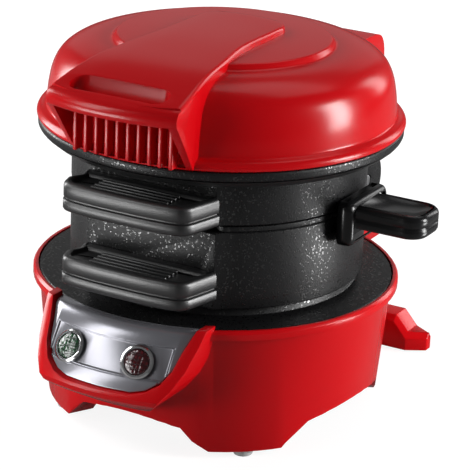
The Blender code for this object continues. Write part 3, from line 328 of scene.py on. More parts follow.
# Deck: the black top of the base, with a collar that the lower ring rests on. It is pressed metal under a
# baked non-stick coat with a fine sparkling grain, which the rings and the plates have too.
def flake_group():
    """Node group that scatters tiny glinting flakes: a mask of the flakes and a tilted normal."""
    group = bpy.data.node_groups.new("glinting_flakes", "ShaderNodeTree")
    for socket, value in (("Flake Scale", 1500.0), ("Share", 0.12), ("Tilt", 0.5)):
        made = group.interface.new_socket(socket, in_out="INPUT", socket_type="NodeSocketFloat")
        made.default_value = value
    group.interface.new_socket("Flake", in_out="OUTPUT", socket_type="NodeSocketFloat")
    group.interface.new_socket("Normal", in_out="OUTPUT", socket_type="NodeSocketVector")
    nodes = group.nodes
    links = group.links
    entry = nodes.new("NodeGroupInput")
    leave = nodes.new("NodeGroupOutput")
    place = nodes.new("ShaderNodeTexCoord")
    cells = nodes.new("ShaderNodeTexVoronoi")
    split = nodes.new("ShaderNodeSeparateColor")
    limit = maths(nodes, "LESS_THAN")
    noise = nodes.new("ShaderNodeTexNoise")
    noise.inputs["Detail"].default_value = 2.0
    bump = nodes.new("ShaderNodeBump")
    bump.inputs["Distance"].default_value = 0.0005
    links.new(place.outputs["Object"], cells.inputs["Vector"])
    links.new(place.outputs["Object"], noise.inputs["Vector"])
    links.new(entry.outputs["Flake Scale"], cells.inputs["Scale"])
    links.new(entry.outputs["Flake Scale"], noise.inputs["Scale"])
    links.new(cells.outputs["Color"], split.inputs["Color"])
    links.new(split.outputs["Red"], limit.inputs[0])
    links.new(entry.outputs["Share"], limit.inputs[1])
    links.new(noise.outputs["Fac"], bump.inputs["Height"])
    links.new(entry.outputs["Tilt"], bump.inputs["Strength"])
    links.new(limit.outputs[0], leave.inputs["Flake"])
    links.new(bump.outputs["Normal"], leave.inputs["Normal"])
    return group


glinting_flakes = flake_group()
flakes_per_metre = 1800.0
flake_share = 0.10
flake_tilt = 0.25
coat_black = (0.006, 0.006, 0.0065)
flake_grey = (0.10, 0.10, 0.10)
coat_roughness = 0.40
flake_roughness = 0.22
black_coat, coat_nodes, coat_links, coat_shader = new_material("black_coated_metal")
coat_shader.inputs["Specular IOR Level"].default_value = 0.36
coat_flakes = coat_nodes.new("ShaderNodeGroup")
coat_flakes.node_tree = glinting_flakes
coat_flakes.inputs["Flake Scale"].default_value = flakes_per_metre
coat_flakes.inputs["Share"].default_value = flake_share
coat_flakes.inputs["Tilt"].default_value = flake_tilt
coat_colour = coat_nodes.new("ShaderNodeMix")
coat_colour.data_type = "RGBA"
coat_colour.inputs["A"].default_value = (*coat_black, 1)
coat_colour.inputs["B"].default_value = (*flake_grey, 1)
coat_rough = coat_nodes.new("ShaderNodeMapRange")
coat_rough.inputs["To Min"].default_value = coat_roughness
coat_rough.inputs["To Max"].default_value = flake_roughness
coat_links.new(coat_flakes.outputs["Flake"], coat_colour.inputs["Factor"])
coat_links.new(coat_flakes.outputs["Flake"], coat_rough.inputs["Value"])
coat_links.new(coat_flakes.outputs["Flake"], coat_shader.inputs["Metallic"])
coat_links.new(coat_colour.outputs["Result"], coat_shader.inputs["Base Color"])
coat_links.new(coat_rough.outputs["Result"], coat_shader.inputs["Roughness"])
coat_links.new(coat_flakes.outputs["Normal"], coat_shader.inputs["Normal"])
dressed_copy("deck", "base_deck", "base", black_coat, rounding=0.0003)

# Cooking rings: two round walls of coated metal with their hinge arms at the rear. The lower one stands on
# the deck's collar, the upper one on the lower one's rim, and both turn on the hinge rod.
dressed_copy("lower_ring_wall", "lower_ring_shell", "lower_ring", black_coat, rounding=0.0004)
dressed_copy("upper_ring_wall", "upper_ring_shell", "upper_ring", black_coat, rounding=0.0004)

# Heating plates: round plates with the same coat, which fry the food from below and from above. The lower
# one sits in the deck, the upper one hangs by its flange on the lid's collar.
dressed_copy("lower_plate", "lower_heating_plate", "base", black_coat, rounding=0.0003)
dressed_copy("upper_plate", "upper_heating_plate", "lid", black_coat, rounding=0.0003)

# Lid collar: a ring of black heat-proof plastic, satin with a fine leathery grain, that closes the lid
# from below. Three screws hold it in the lid.
black_plastic = grained("black_handle_plastic", (0.008, 0.008, 0.0085), roughness=0.38, spread=0.08,
                        fine_scale=1100.0, height=0.12, specular=0.85)
dressed_copy("lid_collar", "lid_bezel", "lid", black_plastic, rounding=0.0003)

# Underside cover: a flat plate of the same black plastic with air slots. It closes the base from below and
# is held by three screws.
dressed_copy("underside_cover", "bottom_cover", "base", black_plastic, rounding=0.0003)

# Lamp panel: a satin grey moulding with a metallic look and a sunk middle field. It is set into the raised
# frame of the base housing and carries the two lamps.
panel_grey = grained("panel_satin_grey", (0.30, 0.30, 0.33), roughness=0.24, spread=0.05, fine_scale=700.0,
                     height=0.03, metallic=0.70)
dressed_copy("lamp_panel", "control_panel", "base", panel_grey, rounding=0.0007, segments=3,
             held_back=False)

# Ring liners: bands of bare steel, pressed into the two cooking rings. They hold the food and keep the
# walls clear of it.
bare_metal = grained("bare_steel", (0.60, 0.60, 0.61), roughness=0.28, spread=0.10, fine_scale=600.0,
                     height=0.10, metallic=1.0)
for side in ("lower", "upper"):
    dressed_copy(side + "_liner_band", side + "_ring_liner", side + "_ring", bare_metal,
                 rounding=0.0002)

# Heating elements and their shields: bent steel tubes behind the two plates, each held by a thin dish of
# pressed steel that throws the heat back.
for side, body, shield in (("lower", "base", "heat_shield"), ("upper", "lid", "upper_heat_shield")):
    dressed_copy(side + "_element_tube", side + "_heating_element", body, bare_metal)
    dressed_copy(side + "_shield_dish", shield, body, bare_metal)

# Hinge rod and pivot stud: turned steel pins. The long rod goes through all the hinge arms at the rear,
# and the short stud carries the egg plate in the upper ring's wall.
dressed_copy("hinge_rod", "hinge_pin", "base", bare_metal, rounding=0.0004)
dressed_copy("pivot_stud", "egg_plate_pivot_pin", "upper_ring", bare_metal, rounding=0.0002)

# Screws: steel, with flat heads and cross slots. Three hold the underside cover, two the stabiliser foot,
# two each handle and three the lid's collar.
for body, screws in (("base", ("base_screw_1", "base_screw_2", "base_screw_3", "rear_foot_screw_left",
                               "rear_foot_screw_right")),
                     ("lower_ring", ("lower_ring_handle_screw_left", "lower_ring_handle_screw_right")),
                     ("upper_ring", ("upper_ring_handle_screw_left", "upper_ring_handle_screw_right")),
                     ("egg_plate", ("egg_plate_handle_screw_front", "egg_plate_handle_screw_rear")),
                     ("lid", ("lid_screw_1", "lid_screw_2", "lid_screw_3"))):
    for node in screws:
        dressed_copy(node.replace("screw", "fixing"), node, body, bare_metal)

# Egg plate: a thin steel disc with the rings' coat, in the seam between them. It turns on the pivot stud
# and is swung out to let the egg down onto the food below.
dressed_copy("swing_plate", "egg_plate", "egg_plate", black_coat, rounding=0.0002)

# Lamp rings: two bright metal bezels with a low polish grain. Each one lies on the panel round its lamp
# and frames the lens.
bright_metal = grained("bright_metal", (0.70, 0.70, 0.71), roughness=0.16, spread=0.05, fine_scale=600.0,
                       height=0.05, metallic=1.0)
for lamp_use in ("power", "ready"):
    dressed_copy(lamp_use + "_lamp_ring", lamp_use + "_lamp_bezel", "base", bright_metal)

# Lamp lenses: caps of tinted clear plastic, green for power and dark red for ready, set through the panel.
# They are moulded with small pyramids that break up the light of the bulb.
def prism_group():
    """Node group for rows of small square pyramids: a normal and a mask for a painted highlight on their
    tips.
    """
    group = bpy.data.node_groups.new("lens_prisms", "ShaderNodeTree")
    for socket, value in (("Prism Scale", 700.0), ("Height", 0.6)):
        made = group.interface.new_socket(socket, in_out="INPUT", socket_type="NodeSocketFloat")
        made.default_value = value
    group.interface.new_socket("Tip", in_out="OUTPUT", socket_type="NodeSocketFloat")
    group.interface.new_socket("Normal", in_out="OUTPUT", socket_type="NodeSocketVector")
    nodes = group.nodes
    links = group.links
    entry = nodes.new("NodeGroupInput")
    leave = nodes.new("NodeGroupOutput")
    place = nodes.new("ShaderNodeTexCoord")
    cells = nodes.new("ShaderNodeTexVoronoi")
    cells.distance = "CHEBYCHEV"
    cells.inputs["Randomness"].default_value = 0.0
    bump = nodes.new("ShaderNodeBump")
    bump.invert = True
    bump.inputs["Distance"].default_value = 0.0008
    tip = nodes.new("ShaderNodeMapRange")
    tip.inputs["From Min"].default_value = 0.5
    tip.inputs["From Max"].default_value = 0.0
    links.new(place.outputs["Object"], cells.inputs["Vector"])
    links.new(entry.outputs["Prism Scale"], cells.inputs["Scale"])
    links.new(cells.outputs["Distance"], bump.inputs["Height"])
    links.new(cells.outputs["Distance"], tip.inputs["Value"])
    links.new(entry.outputs["Height"], bump.inputs["Strength"])
    links.new(tip.outputs["Result"], leave.inputs["Tip"])
    links.new(bump.outputs["Normal"], leave.inputs["Normal"])
    return group


lens_prisms = prism_group()


def lens_material(name, deep, bright):
    """Tinted lens: deep colour between the pyramids, with a painted highlight that makes their tips brighter.
    """
    material, nodes, links, shader = new_material(name)
    shader.inputs["Roughness"].default_value = 0.10
    shader.inputs["Coat Weight"].default_value = 0.6
    shader.inputs["Coat Roughness"].default_value = 0.04
    prisms = nodes.new("ShaderNodeGroup")
    prisms.node_tree = lens_prisms
    prisms.inputs["Prism Scale"].default_value = 640.0
    prisms.inputs["Height"].default_value = 0.7
    # Painted highlight: the lens colour is mixed towards the brighter one on the pyramids' tips.
    tint_and_tip_highlight = nodes.new("ShaderNodeMix")
    tint_and_tip_highlight.data_type = "RGBA"
    tint_and_tip_highlight.inputs["A"].default_value = (*deep, 1)
    tint_and_tip_highlight.inputs["B"].default_value = (*bright, 1)
    links.new(prisms.outputs["Tip"], tint_and_tip_highlight.inputs["Factor"])
    links.new(tint_and_tip_highlight.outputs["Result"], shader.inputs["Base Color"])
    links.new(prisms.outputs["Normal"], shader.inputs["Normal"])
    return material


green_lens = lens_material("green_lens", (0.004, 0.020, 0.008), (0.03, 0.12, 0.05))
dressed_copy("power_lamp_cap", "power_lamp_lens", "base", green_lens, rounding=0.0003)
dark_red_lens = lens_material("dark_red_lens", (0.020, 0.001, 0.002), (0.10, 0.008, 0.012))
dressed_copy("ready_lamp_cap", "ready_lamp_lens", "base", dark_red_lens, rounding=0.0003)

# Lamp bulbs: small capsules of clear glass, one behind each lens. They stand in the base housing, out of
# sight as long as it is closed.
bulb_glass, bulb_nodes, bulb_links, bulb_shader = new_material("bulb_glass")
bulb_shader.inputs["Base Color"].default_value = (0.95, 0.96, 0.97, 1)
bulb_shader.inputs["Transmission Weight"].default_value = 0.95
bulb_shader.inputs["IOR"].default_value = 1.47
bulb_grain = bulb_nodes.new("ShaderNodeGroup")
bulb_grain.node_tree = surface_grain
bulb_grain.inputs["Fine Scale"].default_value = 300.0
bulb_grain.inputs["Height"].default_value = 0.02
bulb_grain.inputs["Roughness"].default_value = 0.04
bulb_grain.inputs["Spread"].default_value = 0.02
bulb_links.new(bulb_grain.outputs["Normal"], bulb_shader.inputs["Normal"])
bulb_links.new(bulb_grain.outputs["Roughness"], bulb_shader.inputs["Roughness"])
for node in ("power_lamp_bulb", "ready_lamp_bulb"):
    dressed_copy(node.replace("bulb", "capsule"), node, "base", bulb_glass)

# Foot pads: four small blocks of pale soft rubber, pressed into pockets under the feet, so that the maker
# doesn't slide.
pad_rubber = grained("pale_pad_rubber", (0.52, 0.52, 0.52), roughness=0.60, spread=0.10, fine_scale=500.0,
                     height=0.20)
for corner in ("front_left", "front_right", "rear_right", "rear_left"):
    dressed_copy("rubber_pad_" + corner, "foot_pad_" + corner, "base", pad_rubber,
                 rounding=0.0003)

# Thermostat, thermal fuse and terminal block: pale ceramic bodies inside the base, below the shield of
# the lower heating plate.
plain_ceramic = grained("plain_ceramic", (0.75, 0.73, 0.70), roughness=0.50, spread=0.10, fine_scale=500.0,
                        height=0.10)
for node in ("thermostat", "thermal_fuse", "terminal_block"):
    dressed_copy(node + "_body", node, "base", plain_ceramic, rounding=0.0003)

# Lid: a red gloss moulding with a raised disc on top, a steep side, a rolled flange at its foot and a wall
# of 2.5 mm. A hump at the rear runs into two arms that turn on the hinge rod. The lid and the pieces after
# it are made round the rings' upright middle line and then moved to their place.
ring_middle = Vector((-0.0101, -0.0010, 0))


def solid_piece(name, points, faces):
    """Object with the given closed faces, all turned outwards."""
    mesh = bpy.data.meshes.new(name)
    mesh.from_pydata([tuple(point) for point in points], [], faces)
    shape = bmesh.new()
    shape.from_mesh(mesh)
    bmesh.ops.remove_doubles(shape, verts=shape.verts, dist=0.000001)
    bmesh.ops.recalc_face_normals(shape, faces=shape.faces)
    if shape.calc_volume(signed=True) < 0:
        bmesh.ops.reverse_faces(shape, faces=shape.faces)
    shape.to_mesh(mesh)
    shape.free()
    thing = bpy.data.objects.new(name, mesh)
    bpy.context.scene.collection.objects.link(thing)
    return thing


def lofted(name, rows):
    """Closed body through rows of points with flat ends."""
    count = len(rows[0])
    faces = [list(range(count)), list(range((len(rows) - 1) * count, len(rows) * count))]
    for level in range(len(rows) - 1):
        start = level * count
        for index in range(count):
            after = (index + 1) % count
            faces.append((start + index, start + after, start + count + after, start + count + index))
    return solid_piece(name, [point for row in rows for point in row], faces)


def spun(name, side, steps=144):
    """Closed body of revolution about the upright middle line, from (radius, height) pairs."""
    rows = []
    for step in range(steps):
        turn = 2 * math.pi * (step + 0.5) / steps
        rows.append([(radius * math.cos(turn), radius * math.sin(turn), height) for radius, height in side])
    count = len(side)
    faces = []
    for step in range(steps):
        here = step * count
        there = (step + 1) % steps * count
        for index in range(count):
            after = (index + 1) % count
            faces.append((here + index, here + after, there + after, there + index))
    return solid_piece(name, [point for row in rows for point in row], faces)


def joined(thing, other, operation):
    """Cut, add or keep the other body, which is used up."""
    modifier = thing.modifiers.new("join", "BOOLEAN")
    modifier.operation = operation
    modifier.solver = "EXACT"
    modifier.object = other
    applied(thing, modifier)
    bpy.data.objects.remove(other, do_unlink=True)


def smooth_line(points, steps):
    """Points on a smooth line through the given ones, with the given number of steps between two of them."""
    line = []
    for index in range(len(points) - 1):
        before = Vector(points[max(index - 1, 0)])
        first = Vector(points[index])
        last = Vector(points[index + 1])
        after = Vector(points[min(index + 2, len(points) - 1)])
        slope = last - before
        bend = 2 * before - 5 * first + 4 * last - after
        twist = 3 * first - before - 3 * last + after
        for step in range(steps):
            t = step / steps
            line.append(tuple(0.5 * (2 * first + slope * t + bend * t ** 2 + twist * t ** 3)))
    return line + [tuple(points[-1])]


def pushed_along(name, outline, from_x, to_x):
    """Closed body with a (y, z) outline, between two places across the maker."""
    return lofted(name, [[(x, y, z) for y, z in outline] for x in (from_x, to_x)])


def at_home(thing):
    """Move a piece made round the rings' middle line to its place in the frame."""
    thing.data.transform(Matrix.Translation(ring_middle))
    return thing


# Spun bodies begin this close to their middle line.
axis_radius = 0.0001
lid_top = 0.1515
lid_wall = 0.0025
inside_ends_at = 0.1210
lid_disc_edge = smooth_line(((0.0414, lid_top), (0.0422, 0.1513), (0.0430, 0.1504), (0.0438, 0.1494),
                             (0.0448, 0.1491)), 3)
lid_slope = smooth_line(((0.0448, 0.1491), (0.0510, 0.1486), (0.0562, 0.1474), (0.0608, 0.1454),
                         (0.0646, 0.1422), (0.0671, 0.1374), (0.0685, 0.1310), (0.0692, 0.1240)), 6)
lid_flange = smooth_line(((0.0692, 0.1240), (0.0694, 0.1231), (0.0703, 0.1225), (0.0717, 0.1218),
                          (0.0727, 0.1207), (0.0730, 0.1197), (0.0727, 0.1189), (0.0722, 0.1187)), 3)
lid_under_flange = [(0.0704, 0.1187), (0.0692, 0.1200)]
lid_outside = lid_disc_edge[:-1] + lid_slope[:-1] + lid_flange
lid_inside = [(radius - lid_wall, height - lid_wall)
              for radius, height in reversed(lid_outside) if height > inside_ends_at]
lid_dome = spun("lid_dome", [(axis_radius, lid_top)] + lid_outside + lid_under_flange + lid_inside
                + [(axis_radius, lid_top - lid_wall)])

hump_half = 0.0290
hump_low = 0.1152
hump_inner_y = 0.0550
hump_side = smooth_line(((hump_inner_y, 0.1392), (0.0700, 0.1390), (0.0800, 0.1385), (0.0845, 0.1360),
                         (0.0868, 0.1310), (0.0873, 0.1220), (0.0868, hump_low)), 3)
hump = pushed_along("hump", hump_side + [(hump_inner_y, hump_low)], -hump_half, hump_half)
hump_room_half = hump_half - lid_wall
hump_room = ((0.0500, 0.1100), (0.0500, 0.1365), (0.0800, 0.1360), (0.0830, 0.1330), (0.0845, 0.1290),
             (0.0848, 0.1100))
joined(hump, pushed_along("room", hump_room, -hump_room_half, hump_room_half), "DIFFERENCE")
hump_overlap = 0.0012
hump_cut_radius = 0.0715
below_lid = 0.1000
dome_inside = [(radius - hump_overlap, height - hump_overlap) for radius, height in lid_outside]
joined(hump, spun("inside", [(axis_radius, lid_top - hump_overlap)] + dome_inside
                  + [(hump_cut_radius, below_lid), (axis_radius, below_lid)], 96), "DIFFERENCE")
joined(lid_dome, hump, "UNION")

hinge_y = 0.0798
hinge_z = 0.0740
barrel_radius = 0.0125
barrel_from = -196
barrel_sweep = 212
barrel_steps = 60
arm_line = []
for step in range(barrel_steps + 1):
    turn = math.radians(barrel_from + barrel_sweep * step / barrel_steps)
    arm_line.append((hinge_y + barrel_radius * math.cos(turn), hinge_z + barrel_radius * math.sin(turn)))
arm_line += [(0.0810, 0.1372), (0.0722, 0.1372)]
arm_inner_x = 0.0157
arm_outer_x = 0.0220
for side in (-1, 1):
    joined(lid_dome, pushed_along("arm", arm_line, side * arm_inner_x, side * arm_outer_x), "UNION")
rod_hole_radius = 0.0028
rod_hole_half = 0.0400
rod_hole_steps = 32
rod_hole = []
for step in range(rod_hole_steps):
    turn = 2 * math.pi * step / rod_hole_steps
    rod_hole.append((hinge_y + rod_hole_radius * math.cos(turn), hinge_z + rod_hole_radius * math.sin(turn)))
joined(lid_dome, pushed_along("hole", rod_hole, -rod_hole_half, rod_hole_half), "DIFFERENCE")


hump_edges_from_y = 0.060
hump_edges_margin = 0.0010
dome_side_radius = 0.0705


def on_hump(middle):
    """True on the hump's and the arms' own edges, which are rounded."""
    outside_dome = math.hypot(middle.x, middle.y) > dome_side_radius
    within_hump = abs(middle.x) < hump_half + hump_edges_margin
    return middle.y > hump_edges_from_y and within_hump and outside_dome


soften(lid_dome, 0.0009, segments=3, angle=30.0, where=on_hump)
finish_piece(at_home(lid_dome), red_gloss, "lid", ("lid_shell",), smooth=32.0)

# Rim band: the coated metal edge of the lid's collar, seen as a narrow dark band all round below the red
# flange. It is rolled round the collar and moves with the lid.
rim_inner_radius = 0.0700
rim_low = 0.1145
rim_high = 0.1184
rim_band = spun("lid_rim_band", [(rim_inner_radius, rim_high), (0.0719, rim_high), (0.0724, 0.1180),
                                 (0.0725, 0.1172), (0.0724, 0.1154), (0.0721, 0.1148), (0.0715, rim_low),
                                 (rim_inner_radius, rim_low)])
finish_piece(at_home(rim_band), black_coat, "lid", (), smooth=50.0)

# Raised strip: it rises from the middle of the lid, widens to the front and ends in a rounded lip over the
# grille. A finger slot goes down through it. It is moulded in the lid's red plastic and clipped on.
# Its rows are (y, half width, height of the top), from the rear to the front.
strip_rows = ((0.0219, 0.0085, 0.1540), (0.0212, 0.0125, 0.1542), (0.0190, 0.0162, 0.1543),
              (0.0150, 0.0184, 0.1543), (0.0090, 0.0190, 0.1543), (-0.0190, 0.0194, 0.1543),
              (-0.0400, 0.0226, 0.1533), (-0.0570, 0.0250, 0.1518), (-0.0732, 0.0272, 0.1482),
              (-0.0850, 0.0280, 0.1446), (-0.0930, 0.0284, 0.1420))
strip_foot = 0.1192
strip_foot_inset = 0.0030
strip_corner = 0.0016
strip_flare = 0.10
strip_crown = 0.0004


def strip_section(y, half, top):
    """Section of the strip: leaning sides, rounded top corners and a slightly crowned top."""
    spread = (top - strip_foot) * strip_flare
    section = [(half + spread - strip_foot_inset, y, strip_foot)]
    for step in range(7):
        turn = math.radians(90 * step / 6)
        section.append((half - strip_corner + strip_corner * math.cos(turn), y,
                        top - strip_corner + strip_corner * math.sin(turn)))
    for share in (0.5, 0.0, -0.5):
        section.append((half * share, y, top + strip_crown * (1 - share * share)))
    return section + [(-x, y, z) for x, y, z in reversed(section[:8])]


lid_strip = lofted("lid_strip", [strip_section(*row) for row in smooth_line(strip_rows, 5)])
above_lid = 0.1700
lip_side = [(0.0738, below_lid), (0.0738, 0.1190), (0.0874, 0.1384), (0.0882, 0.1392), (0.0885, 0.1404),
            (0.0885, 0.1418), (0.0882, 0.1430), (0.0875, 0.1440), (0.0864, 0.1447), (0.0850, 0.1452),
            (0.0850, above_lid)]
joined(lid_strip, spun("front", [(axis_radius, below_lid)] + lip_side + [(axis_radius, above_lid)]),
       "INTERSECT")
recess_half = 0.0246
recess_low = 0.1200
recess_high = 0.1388
recess_back = 0.0712
recess_front = 0.1000
recess = spun("recess", [(recess_back, recess_low), (recess_front, recess_low),
                         (recess_front, recess_high), (recess_back, recess_high)])
recess_side = ((-0.1100, below_lid), (0.0, below_lid), (0.0, 0.1600), (-0.1100, 0.1600))
joined(recess, pushed_along("width", recess_side, -recess_half, recess_half), "INTERSECT")
joined(lid_strip, recess, "DIFFERENCE")
slot_half = 0.0208
slot_shift = -0.0006
slot_near = -0.0818
slot_far = -0.0718
slot_round = (slot_far - slot_near) / 2
slot_line = []
for middle, first in ((slot_half - slot_round, -90), (slot_round - slot_half, 90)):
    for step in range(17):
        turn = math.radians(first + 180 * step / 16)
        slot_line.append((slot_shift + middle + slot_round * math.cos(turn),
                          slot_near + slot_round + slot_round * math.sin(turn)))
# Heights of the slot's wall, and how far its far side leans to the near one there.
slot_levels = ((0.1345, 0.0050), (0.1470, 0.0002), (0.1500, 0.0), (0.1600, 0.0))
slot_rows = [[(x, y - lean * (y - slot_near) / (slot_far - slot_near), z) for x, y in slot_line]
             for z, lean in slot_levels]
joined(lid_strip, lofted("slot", slot_rows), "DIFFERENCE")
strip_seat = 0.0001
strip_cut_radius = 0.0725
dome_room = [(radius - strip_seat, height - strip_seat) for radius, height in lid_outside]
joined(lid_strip, spun("lid_room", [(axis_radius, lid_top - strip_seat)] + dome_room
                       + [(strip_cut_radius, below_lid), (axis_radius, below_lid)]), "DIFFERENCE")


strip_edges_from_y = -0.0450
strip_edges_from_z = 0.1190


def on_strip_edge(middle):
    """True on edges that stand clear of the lid's own surface."""
    return middle.y < strip_edges_from_y and middle.z > strip_edges_from_z


soften(lid_strip, 0.0006, segments=3, angle=34.0, where=on_strip_edge)
finish_piece(at_home(lid_strip), red_gloss, "lid", ("lid_handle",), smooth=34.0)

# Grille under the lip: ten upright ribs that stand on the flange and reach the underside of the lip. They
# are one ribbed moulding in the lid's red, pushed in from below and held by the strip.
def row_of_bars_tree():
    """Geometry nodes for bars in a row: straight, or with their fronts on an arc of the given radius."""
    tree = bpy.data.node_groups.new("row_of_bars", "GeometryNodeTree")
    for socket, kind in (("Count", "NodeSocketInt"), ("First Place", "NodeSocketVector"),
                         ("Step", "NodeSocketVector"), ("Bar Size", "NodeSocketVector"),
                         ("Arc Radius", "NodeSocketFloat"), ("Material", "NodeSocketMaterial")):
        tree.interface.new_socket(socket, in_out="INPUT", socket_type=kind)
    tree.interface.new_socket("Bars", in_out="OUTPUT", socket_type="NodeSocketGeometry")
    nodes = tree.nodes
    links = tree.links
    entry = nodes.new("NodeGroupInput")
    leave = nodes.new("NodeGroupOutput")
    line = nodes.new("GeometryNodeMeshLine")
    bar = nodes.new("GeometryNodeMeshCube")
    place = nodes.new("GeometryNodeInputPosition")
    split = nodes.new("ShaderNodeSeparateXYZ")
    radius_square = maths(nodes, "MULTIPLY")
    side_square = maths(nodes, "MULTIPLY")
    rest = maths(nodes, "SUBTRACT")
    root = maths(nodes, "SQRT")
    forward = maths(nodes, "SUBTRACT")
    on_arc = maths(nodes, "GREATER_THAN")
    moved = maths(nodes, "MULTIPLY")
    arc_offset = nodes.new("ShaderNodeCombineXYZ")
    shift = nodes.new("GeometryNodeSetPosition")
    bars = nodes.new("GeometryNodeInstanceOnPoints")
    real = nodes.new("GeometryNodeRealizeInstances")
    paint = nodes.new("GeometryNodeSetMaterial")
    links.new(entry.outputs["Count"], line.inputs["Count"])
    links.new(entry.outputs["First Place"], line.inputs["Start Location"])
    links.new(entry.outputs["Step"], line.inputs["Offset"])
    links.new(entry.outputs["Bar Size"], bar.inputs["Size"])
    links.new(place.outputs["Position"], split.inputs["Vector"])
    links.new(entry.outputs["Arc Radius"], radius_square.inputs[0])
    links.new(entry.outputs["Arc Radius"], radius_square.inputs[1])
    links.new(split.outputs["X"], side_square.inputs[0])
    links.new(split.outputs["X"], side_square.inputs[1])
    links.new(radius_square.outputs[0], rest.inputs[0])
    links.new(side_square.outputs[0], rest.inputs[1])
    links.new(rest.outputs[0], root.inputs[0])
    links.new(entry.outputs["Arc Radius"], forward.inputs[0])
    links.new(root.outputs[0], forward.inputs[1])
    links.new(entry.outputs["Arc Radius"], on_arc.inputs[0])
    links.new(forward.outputs[0], moved.inputs[0])
    links.new(on_arc.outputs[0], moved.inputs[1])
    links.new(moved.outputs[0], arc_offset.inputs["Y"])
    links.new(line.outputs["Mesh"], shift.inputs["Geometry"])
    links.new(arc_offset.outputs["Vector"], shift.inputs["Offset"])
    links.new(shift.outputs["Geometry"], bars.inputs["Points"])
    links.new(bar.outputs["Mesh"], bars.inputs["Instance"])
    links.new(bars.outputs["Instances"], real.inputs["Geometry"])
    links.new(real.outputs["Geometry"], paint.inputs["Geometry"])
    links.new(entry.outputs["Material"], paint.inputs["Material"])
    links.new(paint.outputs["Geometry"], leave.inputs["Bars"])
    return tree


row_of_bars = row_of_bars_tree()


def grown(name, tree, values):
    """Plain mesh object made by a geometry nodes tree with the given named inputs."""
    thing = bpy.data.objects.new(name, bpy.data.meshes.new(name))
    bpy.context.scene.collection.objects.link(thing)
    maker = thing.modifiers.new("maker", "NODES")
    maker.node_group = tree
    for item in tree.interface.items_tree:
        if item.in_out == "INPUT":
            maker[item.identifier] = values[item.name]
    return applied(thing, maker)


rib_count = 10
rib_pitch = 0.0046
rib_radius = 0.0733
rib_width = 0.0017
rib_depth = 0.0044
rib_overlap = 0.0004
grille_ribs = grown("grille_ribs", row_of_bars, {
    "Count": rib_count,
    "First Place": ((1 - rib_count) / 2 * rib_pitch, -rib_radius, (recess_high + recess_low) / 2),
    "Step": (rib_pitch, 0.0, 0.0),
    "Bar Size": (rib_width, rib_depth, recess_high - recess_low + rib_overlap),
    "Arc Radius": rib_radius, "Material": red_gloss})
soften(grille_ribs, 0.0005, segments=3)
finish_piece(at_home(grille_ribs), red_gloss, "lid", ("lid_handle_insert",))

# Ring handles: satin black mouldings screwed to the flat front of each ring. A groove runs round the rim,
# the top is dished inside a raised edge, and four grip bars cross its middle. The left end reaches a
# little further out than the right one.
handle_side = [(0.0300, -0.0535), (0.0285, -0.0600), (0.0272, -0.0655), (0.0262, -0.0688),
               (0.0243, -0.0712), (0.0215, -0.0723), (0.0160, -0.0730), (0.0080, -0.0735), (0.0, -0.0736)]
handle_half_line = smooth_line(handle_side, 5)
left_reach = 0.0035
left_reach_from = -0.0585
left_reach_over = 0.0050
handle_line = list(handle_half_line)
for x, y in reversed(handle_half_line[:-1]):
    share = min(1.0, max(0.0, (left_reach_from - y) / left_reach_over))
    handle_line.append((-x - left_reach * share, y))


def drawn_in(line, amount, rear_too):
    """Closed outline moved inwards; its rear edge stays unless rear_too is true."""
    count = len(line)
    moved = []
    for index, point in enumerate(line):
        before = Vector(line[index - 1])
        after = Vector(line[(index + 1) % count])
        along = (after - before).normalized()
        inward = Vector((along.y, -along.x))
        x, y = Vector(point) + inward * amount
        if index in (0, count - 1):
            x = point[0] - math.copysign(amount, point[0])
            y = point[1] - (amount if rear_too else 0)
        moved.append((x, y))
    return moved


# Levels of a handle from its foot up: (height, how far the outline is drawn in, whether its rear is too).
handle_levels = (
    (0.0, 0.0012, False), (0.0003, 0.0005, False), (0.0010, 0.0, False), (0.0042, 0.0, False),
    (0.0045, 0.0003, False), (0.0047, 0.0011, False), (0.0053, 0.0011, False), (0.0055, 0.0004, False),
    (0.0058, 0.0002, False), (0.0098, 0.0002, False), (0.0107, 0.0005, False), (0.0112, 0.0011, False),
    (0.0115, 0.0020, False), (0.0115, 0.0028, True), (0.0112, 0.0033, True), (0.0103, 0.0037, True),
    (0.0100, 0.0044, True))
handle_feet = {"lower": 0.0632, "upper": 0.0931}
bar_count = 4
bar_middle_x = -0.0010
first_bar_y = -0.0676
bar_step = 0.0029
bar_rise = 0.0103
bar_size = (0.0340, 0.0015, 0.0018)
for side, foot in handle_feet.items():
    rows = [[(x, y, foot + rise) for x, y in drawn_in(handle_line, inset, rear_too)]
            for rise, inset, rear_too in handle_levels]
    handle = lofted(side + "_handle", rows)
    ring = side + "_ring"
    finish_piece(at_home(handle), black_plastic, ring, (ring + "_handle",), smooth=50.0)
    grip = grown(side + "_handle_grip_bars", row_of_bars, {
        "Count": bar_count, "First Place": (bar_middle_x, first_bar_y, foot + bar_rise),
        "Step": (0.0, bar_step, 0.0), "Bar Size": bar_size, "Arc Radius": 0.0, "Material": black_plastic})
    soften(grip, 0.0005)
    finish_piece(at_home(grip), black_plastic, ring, ())

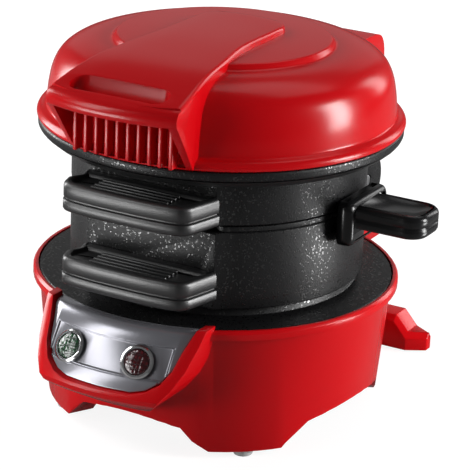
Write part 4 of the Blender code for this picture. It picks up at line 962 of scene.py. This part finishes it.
# Grip of the egg plate: a satin black moulding with a softly rounded root block against the ring, a grip
# with a rounded tip, a groove along its sides and a raised border round its top. Two screws hold it.
grip_gloss = grained("black_grip_plastic", (0.006, 0.006, 0.0065), roughness=0.24, spread=0.05,
                     fine_scale=900.0, height=0.06, specular=0.40)
root_inner_x = 0.0600
root_front_y = -0.0150
root_rear_y = 0.0175
root_low = 0.0802
root_high = 0.0980
root_corner = 0.0030


def root_section(x, inset):
    """Section of the root block: a rectangle with rounded corners, drawn in by the inset."""
    section = []
    reach = root_corner + inset
    front = root_front_y + reach
    rear = root_rear_y - reach
    low = root_low + reach
    high = root_high - reach
    for y, z, first in ((rear, high, 0), (front, high, 90), (front, low, 180), (rear, low, 270)):
        for step in range(6):
            turn = math.radians(first + 90 * step / 5)
            section.append((x, y + root_corner * math.cos(turn), z + root_corner * math.sin(turn)))
    return section


grip_half = 0.0114
tip_radius = 0.0080
tip_middle_x = 0.0860


def grip_plan(inset):
    """Plan of the grip with its rounded tip, drawn in by the inset."""
    radius = tip_radius - inset
    plan = [(root_inner_x, grip_half - inset), (root_inner_x, inset - grip_half)]
    for middle, first in ((tip_radius - grip_half, -90), (grip_half - tip_radius, 0)):
        for step in range(10):
            turn = math.radians(first + 90 * step / 9)
            plan.append((tip_middle_x + radius * math.cos(turn), middle + radius * math.sin(turn)))
    return plan


# Steps of the root block's outer face are (x, inset), and levels of the grip are (height, inset).
root_steps = ((root_inner_x, 0.0), (0.0634, 0.0), (0.0648, 0.0002), (0.0656, 0.0006), (0.0662, 0.0012),
              (0.0665, 0.0020))
grip_levels = (
    (0.0869, 0.0026), (0.0872, 0.0014), (0.0878, 0.0006), (0.0888, 0.0001), (0.0912, 0.0001),
    (0.0914, 0.0005), (0.0918, 0.0005), (0.0920, 0.0001), (0.0946, 0.0001), (0.0956, 0.0005),
    (0.0961, 0.0011), (0.0964, 0.0019), (0.0964, 0.0027), (0.0961, 0.0031), (0.0958, 0.0036))
grip_form = lofted("grip_form", [root_section(x, inset) for x, inset in root_steps])
grip_rows = [[(x, y, z) for x, y in grip_plan(inset)] for z, inset in grip_levels]
joined(grip_form, lofted("grip_bar", grip_rows), "UNION")
egg_grip = bare_copy("egg_plate_grip", "egg_plate_handle")
joined(egg_grip, at_home(grip_form), "INTERSECT")
finish_piece(egg_grip, grip_gloss, "egg_plate", ("egg_plate_handle",))
